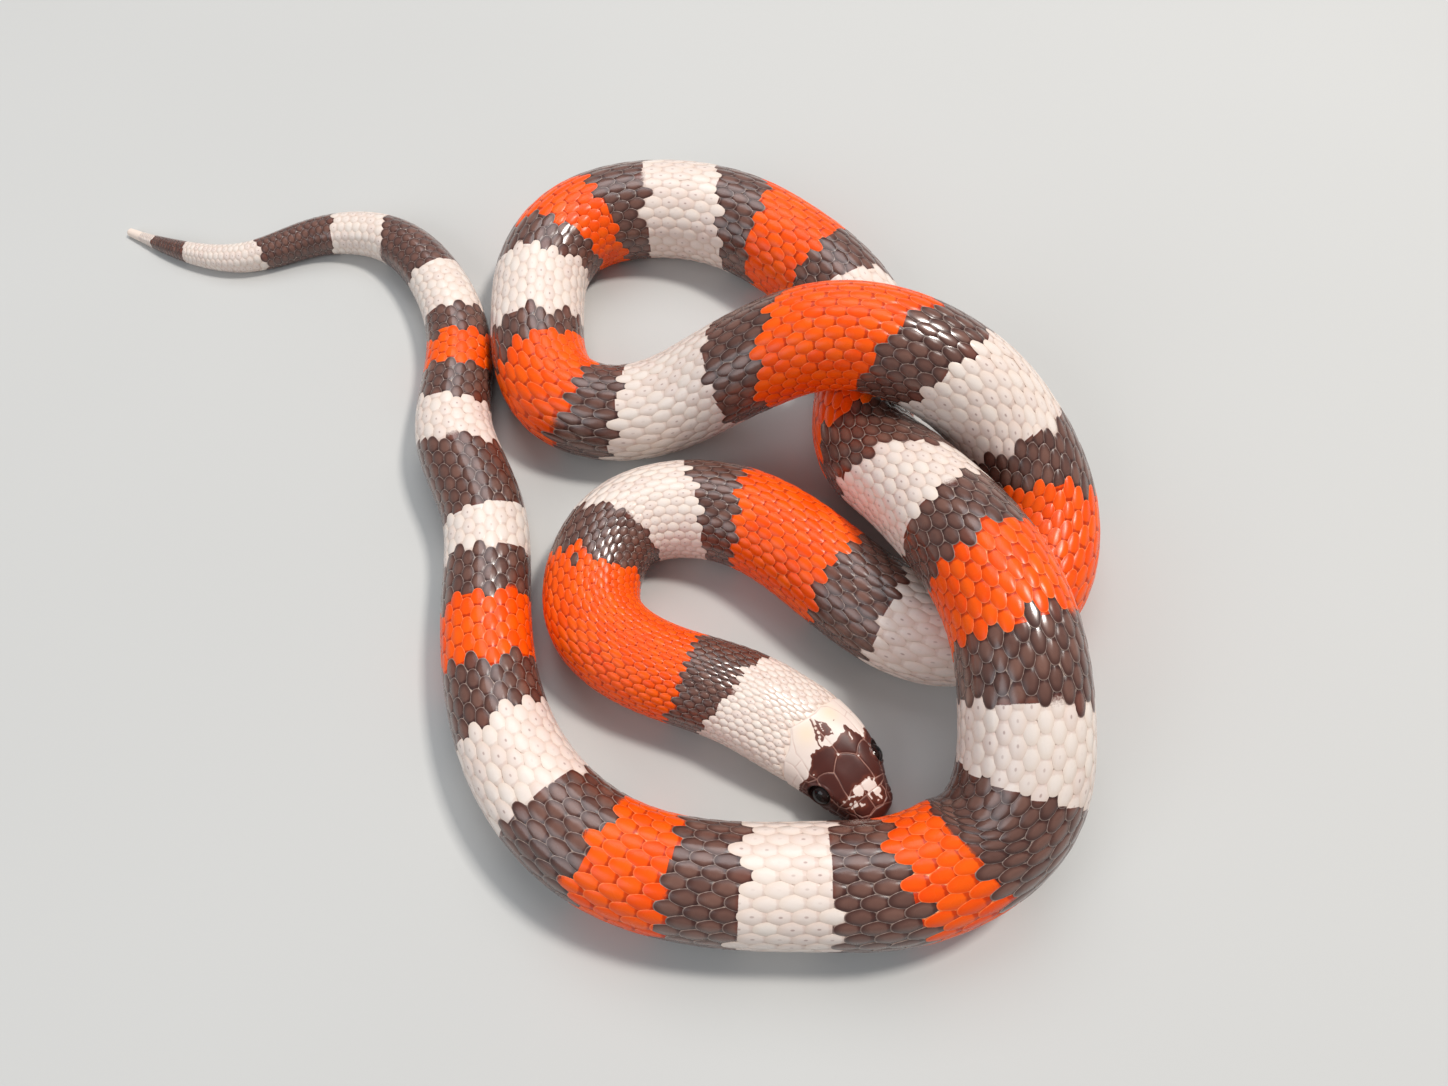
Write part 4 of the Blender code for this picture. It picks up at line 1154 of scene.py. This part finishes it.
def make_marking_group():
    """Colours of the three bands, varied from scale to scale and over the skin, with their masks."""
    inputs = [
        ("Marks", "NodeSocketVector", None), ("Seed", "NodeSocketFloat", 0.5),
        ("Brown", "NodeSocketColor", (0.096, 0.039, 0.029, 1)), ("Brown light", "NodeSocketColor", (0.185, 0.086, 0.062, 1)),
        ("White", "NodeSocketColor", (0.80, 0.71, 0.64, 1)), ("White shade", "NodeSocketColor", (0.74, 0.61, 0.55, 1)),
        ("Orange", "NodeSocketColor", (0.87, 0.068, 0.001, 1)), ("Orange light", "NodeSocketColor", (0.94, 0.118, 0.003, 1)),
    ]
    outputs = [("Color", "NodeSocketColor"), ("Brown mask", "NodeSocketFloat"), ("Orange mask", "NodeSocketFloat")]
    tree, start, end = new_group("band colours", inputs, outputs)
    marks = split(tree, start.outputs["Marks"])
    ragged = math_node(tree, "MULTIPLY", math_node(tree, "SUBTRACT", noise(tree, 3200, 3), 0.5), 0.14)
    inside_brown = math_node(tree, "ADD", marks[0], ragged)
    brown_mask = span(tree, inside_brown, -0.06, 0.06)
    orange_mask = span(tree, math_node(tree, "ADD", marks[1], ragged), -0.24, -0.10)
    patchy = noise(tree, 420, 3)
    soft = math_node(tree, "MULTIPLY_ADD", start.outputs["Seed"], 0.7)
    soft.node.inputs[2].default_value = -0.1
    vary = math_node(tree, "ADD", soft, math_node(tree, "MULTIPLY", patchy, 0.6), clamp=True)
    brown = mix_colours(tree, vary, start.outputs["Brown"], start.outputs["Brown light"])
    brown = mix_colours(tree, span(tree, inside_brown, 0.8, 0.0, 0.0, 0.75), brown, (0.150, 0.038, 0.022))
    white = mix_colours(tree, vary, start.outputs["White"], start.outputs["White shade"])
    warm = math_node(tree, "MULTIPLY", marks[2], 0.75)
    white = mix_colours(tree, warm, white, (0.80, 0.65, 0.48))
    orange = mix_colours(tree, vary, start.outputs["Orange"], start.outputs["Orange light"])
    colour = mix_colours(tree, orange_mask, white, orange)
    colour = mix_colours(tree, brown_mask, colour, brown)
    tree.links.new(colour, end.inputs["Color"])
    tree.links.new(brown_mask, end.inputs["Brown mask"])
    tree.links.new(orange_mask, end.inputs["Orange mask"])
    return tree


def make_grain_group():
    """The fine unevenness of keratin: a value for roughness and a height for bump."""
    tree, start, end = new_group(
        "keratin grain", [("Gloss", "NodeSocketFloat", 0.34)],
        [("Roughness", "NodeSocketFloat"), ("Height", "NodeSocketFloat")],
    )
    fine = noise(tree, 2600, 2)
    broad = noise(tree, 260, 2)
    rough = math_node(tree, "MULTIPLY_ADD", broad, 0.16)
    tree.links.new(start.outputs["Gloss"], rough.node.inputs[2])
    tree.links.new(rough, end.inputs["Roughness"])
    tree.links.new(fine, end.inputs["Height"])
    return tree


def new_finish(name):
    finish = bpy.data.materials.new(name)
    finish.use_nodes = True
    return finish, finish.node_tree, finish.node_tree.nodes["Principled BSDF"]


def use_group(tree, group, **values):
    node = tree.nodes.new("ShaderNodeGroup")
    node.node_tree = group
    for name, value in values.items():
        socket = node.inputs[name.replace("_", " ")]
        if isinstance(value, (int, float, tuple)):
            socket.default_value = value
        else:
            tree.links.new(value, socket)
    return node


def add_bump(tree, shader, height, strength, distance):
    node = tree.nodes.new("ShaderNodeBump")
    node.inputs["Strength"].default_value = strength
    node.inputs["Distance"].default_value = distance
    tree.links.new(height, node.inputs["Height"])
    tree.links.new(node.outputs["Normal"], shader.inputs["Normal"])


def scale_finish(markings, grain):
    """Glossy scales: a paler rim, partly the edge's own colour and partly a painted highlight; a darker ring inside it,
    strongest on the dark ones, partly their own darker edge and partly painted shade where the dome falls away; a
    painted shadow over each scale's front under the tip of the one before; and a fine dot on many of the white.
    """
    finish, tree, shader = new_finish("body_scales")
    cell = split(tree, attribute(tree, "cell").outputs["Vector"])
    seed = cell[2]
    bands = use_group(tree, markings, Marks=attribute(tree, "marks").outputs["Vector"], Seed=seed)
    is_brown = bands.outputs["Brown mask"]
    is_orange = bands.outputs["Orange mask"]
    squares = math_node(tree, "ADD", math_node(tree, "MULTIPLY", cell[0], cell[0]), math_node(tree, "MULTIPLY", cell[1], cell[1]))
    radius = math_node(tree, "SQRT", squares)
    # Paler rim: partly the scale edge's own pale colour, partly a painted highlight along the edge.
    rim = span(tree, radius, 0.90, 0.98)
    towards_tip = span(tree, cell[0], 0.80, 0.98, 1.0, 0.45)
    shoulder = span(tree, radius, 0.35, 0.95)
    pale_rim_and_glint_colour = mix_colours(tree, is_orange, (0.62, 0.46, 0.37), (1.0, 0.33, 0.11))
    pale_rim_and_glint_colour = mix_colours(tree, is_brown, pale_rim_and_glint_colour, (0.60, 0.45, 0.38))
    # A darker ring inside the rim: partly the scale's own darker edge, partly painted shade where the dome falls away.
    dark_ring_and_shade = mix_colours(tree, is_orange, (0.98, 0.94, 0.90), (0.97, 0.82, 0.80))
    dark_ring_and_shade = mix_colours(tree, is_brown, dark_ring_and_shade, (0.44, 0.33, 0.31))
    colour = mix_colours(tree, shoulder, bands.outputs["Color"], dark_ring_and_shade, "MULTIPLY")
    coloured = math_node(tree, "ADD", is_brown, is_orange, clamp=True)
    # Painted shadow across the front of each scale, where the tip of the scale before it lies over it; strongest on
    # brown and orange.
    painted_tip_shadow = math_node(tree, "MULTIPLY", span(tree, cell[0], -0.42, -0.58), span(tree, coloured, 0.0, 1.0, 0.2, 0.8))
    colour = mix_colours(tree, painted_tip_shadow, colour, (0.50, 0.30, 0.27), "MULTIPLY")
    strength = math_node(tree, "ADD", span(tree, is_brown, 0.0, 1.0, 0.35, 0.55), math_node(tree, "MULTIPLY", is_orange, 0.2))
    rim = math_node(tree, "MULTIPLY", rim, math_node(tree, "MULTIPLY", towards_tip, strength))
    # The pale rim and its painted highlight are laid on here.
    colour = mix_colours(tree, rim, colour, pale_rim_and_glint_colour)
    ahead = math_node(tree, "SUBTRACT", cell[0], 0.12)
    spread = math_node(tree, "ADD", math_node(tree, "MULTIPLY", ahead, ahead), math_node(tree, "MULTIPLY", cell[1], cell[1]))
    dot = span(tree, math_node(tree, "SQRT", spread), 0.17, 0.07)
    chosen = span(tree, seed, 0.25, 0.85)
    bare = math_node(tree, "SUBTRACT", 1.0, math_node(tree, "ADD", is_brown, is_orange), clamp=True)
    dot = math_node(tree, "MULTIPLY", math_node(tree, "MULTIPLY", dot, chosen), math_node(tree, "MULTIPLY", bare, 0.6))
    colour = mix_colours(tree, dot, colour, (0.26, 0.14, 0.12))
    tree.links.new(colour, shader.inputs["Base Color"])
    texture = use_group(tree, grain, Gloss=0.20)
    tree.links.new(texture.outputs["Roughness"], shader.inputs["Roughness"])
    clear = math_node(tree, "ADD", span(tree, is_brown, 0.0, 1.0, 0.30, 0.9), math_node(tree, "MULTIPLY", is_orange, -0.2))
    tree.links.new(clear, shader.inputs["Coat Weight"])
    shader.inputs["Coat Roughness"].default_value = 0.18
    shader.inputs["Specular IOR Level"].default_value = 0.2
    swell = math_node(tree, "MULTIPLY", math_node(tree, "SUBTRACT", 1.0, squares), span(tree, is_brown, 0.0, 1.0, 0.85, 1.1))
    height = math_node(tree, "ADD", swell, math_node(tree, "MULTIPLY", texture.outputs["Height"], 0.04))
    add_bump(tree, shader, height, 1.0, 0.00022)
    return finish


def skin_finish(markings, grain):
    """The head's plates with pale seams, painted shade in the pits of the mouth, nostrils and eyes, and the softer skin
    between the scales, lightened beyond its own pale colour as painted light.
    """
    finish, tree, shader = new_finish("head_scales")
    lines = split(tree, attribute(tree, "lines").outputs["Vector"])
    bed = attribute(tree, "bed").outputs["Fac"]
    bare = math_node(tree, "SUBTRACT", 1.0, bed)
    head = use_group(
        tree, markings, Marks=attribute(tree, "marks").outputs["Vector"], Seed=noise(tree, 300, 2),
        Brown=(0.050, 0.011, 0.008, 1), Brown_light=(0.084, 0.022, 0.016, 1),
    )
    is_brown = head.outputs["Brown mask"]
    # The skin between the scales: its own pale colour, made lighter still as painted light, against the shade of the
    # gaps and for glints where scales meet.
    under = mix_colours(tree, head.outputs["Orange mask"], (0.80, 0.66, 0.57), (1.0, 0.48, 0.22))
    under = mix_colours(tree, is_brown, under, (0.58, 0.45, 0.38))
    colour = mix_colours(tree, bed, head.outputs["Color"], under)
    patchy = span(tree, noise(tree, 500, 2), 0.35, 0.65, 0.45, 0.95)
    seam_colour = mix_colours(tree, is_brown, (0.62, 0.47, 0.41), (0.36, 0.19, 0.15))
    pale = math_node(tree, "MULTIPLY", math_node(tree, "MULTIPLY", span(tree, lines[0], 0.16, 0.04), patchy), bare)
    colour = mix_colours(tree, pale, colour, seam_colour)
    faint = math_node(tree, "MULTIPLY", math_node(tree, "MULTIPLY", span(tree, lines[1], 0.15, 0.03), 0.5), bare)
    colour = mix_colours(tree, faint, colour, seam_colour)
    # Painted shade, nearly black, in the mouth line, the nostrils and round the eyes.
    colour = mix_colours(tree, lines[2], colour, (0.014, 0.007, 0.006))
    tree.links.new(colour, shader.inputs["Base Color"])
    texture = use_group(tree, grain, Gloss=0.28)
    tree.links.new(texture.outputs["Roughness"], shader.inputs["Roughness"])
    shader.inputs["Specular IOR Level"].default_value = 0.3
    add_bump(tree, shader, texture.outputs["Height"], 0.2, 0.00003)
    return finish


def belly_finish(markings, grain):
    finish, tree, shader = new_finish("belly_scales")
    cell = split(tree, attribute(tree, "cell").outputs["Vector"])
    bands = use_group(tree, markings, Marks=attribute(tree, "marks").outputs["Vector"], Seed=cell[2])
    rim = span(tree, cell[0], 0.6, 1.0)
    colour = mix_colours(tree, math_node(tree, "MULTIPLY", rim, 0.35), bands.outputs["Color"], (0.62, 0.45, 0.36))
    tree.links.new(colour, shader.inputs["Base Color"])
    texture = use_group(tree, grain, Gloss=0.26)
    tree.links.new(texture.outputs["Roughness"], shader.inputs["Roughness"])
    add_bump(tree, shader, texture.outputs["Height"], 0.2, 0.00004)
    return finish


def eye_finish():
    """A nearly black eye: round pupil, dark red-brown iris with fine rays, on a polished surface."""
    finish, tree, shader = new_finish("eye")
    iris = split(tree, attribute(tree, "iris").outputs["Vector"])
    rays = noise(tree, 1600, 4)
    ring = math_node(tree, "ADD", iris[0], math_node(tree, "MULTIPLY", rays, 0.08))
    brown = mix_colours(tree, rays, (0.010, 0.006, 0.006), (0.022, 0.010, 0.009))
    colour = mix_colours(tree, span(tree, ring, 0.50, 0.56), (0.003, 0.003, 0.004), brown)
    colour = mix_colours(tree, span(tree, ring, 0.78, 0.95), colour, (0.010, 0.006, 0.005))
    tree.links.new(colour, shader.inputs["Base Color"])
    shader.inputs["Roughness"].default_value = 0.06
    shader.inputs["Specular IOR Level"].default_value = 0.3
    return finish


# Stage

FLOOR_SIZE = 2.4
CAMERA_PLACE = (0.0329, -0.10264, 0.19773)
CAMERA_TILT = 26.0
SENSOR_WIDTH = 36.0
LENS = 27.348


def make_floor():
    deselect_all()
    bpy.ops.mesh.primitive_plane_add(size=FLOOR_SIZE, location=(0, 0, 0))
    floor = bpy.context.object
    floor.name = "floor"
    finish, tree, shader = new_finish("floor")
    shade = mix_colours(tree, noise(tree, 6, 2), (0.50, 0.495, 0.48), (0.54, 0.535, 0.52))
    tree.links.new(shade, shader.inputs["Base Color"])
    shader.inputs["Roughness"].default_value = 0.75
    floor.data.materials.append(finish)


def add_light(name, size, power, colour, place_at, aim):
    """A soft square lamp at a place, turned to its aim."""
    lamp = bpy.data.lights.new(name, "AREA")
    lamp.size = size
    lamp.energy = power
    lamp.color = colour
    item = bpy.data.objects.new(name, lamp)
    bpy.context.scene.collection.objects.link(item)
    item.location = place_at
    direction = np.array(aim, float) - np.array(place_at, float)
    away = -direction / np.linalg.norm(direction)
    item.rotation_euler = (math.acos(away[2]), 0, math.atan2(away[1], away[0]) + math.pi / 2)


def light_stage():
    world = bpy.data.worlds.new("studio")
    world.use_nodes = True
    world.node_tree.nodes["Background"].inputs[0].default_value = (0.93, 0.96, 1.0, 1)
    world.node_tree.nodes["Background"].inputs[1].default_value = 0.34
    bpy.context.scene.world = world
    bpy.context.scene.view_settings.view_transform = "Standard"
    add_light("key", 0.24, 21.0, (1.0, 0.96, 0.91), (0.78, 0.42, 1.45), (0.02, -0.01, 0))
    add_light("back panel", 0.9, 8.5, (0.92, 0.96, 1.0), (0.0, 0.85, 1.25), (0.0, 0.0, 0))
    add_light("fill", 0.6, 2.9, (0.90, 0.95, 1.0), (-0.6, -0.5, 0.6), (0.0, 0.0, 0))


def add_camera():
    lens = bpy.data.cameras.new("camera")
    lens.sensor_width = SENSOR_WIDTH
    lens.lens = LENS
    lens.clip_start = 0.01
    camera = bpy.data.objects.new("camera", lens)
    bpy.context.scene.collection.objects.link(camera)
    camera.location = CAMERA_PLACE
    camera.rotation_euler = (math.radians(CAMERA_TILT), 0, 0)
    bpy.context.scene.camera = camera


def main():
    markings = make_marking_group()
    grain = make_grain_group()
    make_skin(skin_finish(markings, grain))
    lay_scales(scale_finish(markings, grain))
    lay_belly_plates(belly_finish(markings, grain))
    eye = eye_finish()
    make_eye("eye_ball_left", "eye_left", 1, eye)
    make_eye("eye_ball_right", "eye_right", -1, eye)
    make_floor()
    light_stage()
    add_camera()


main()
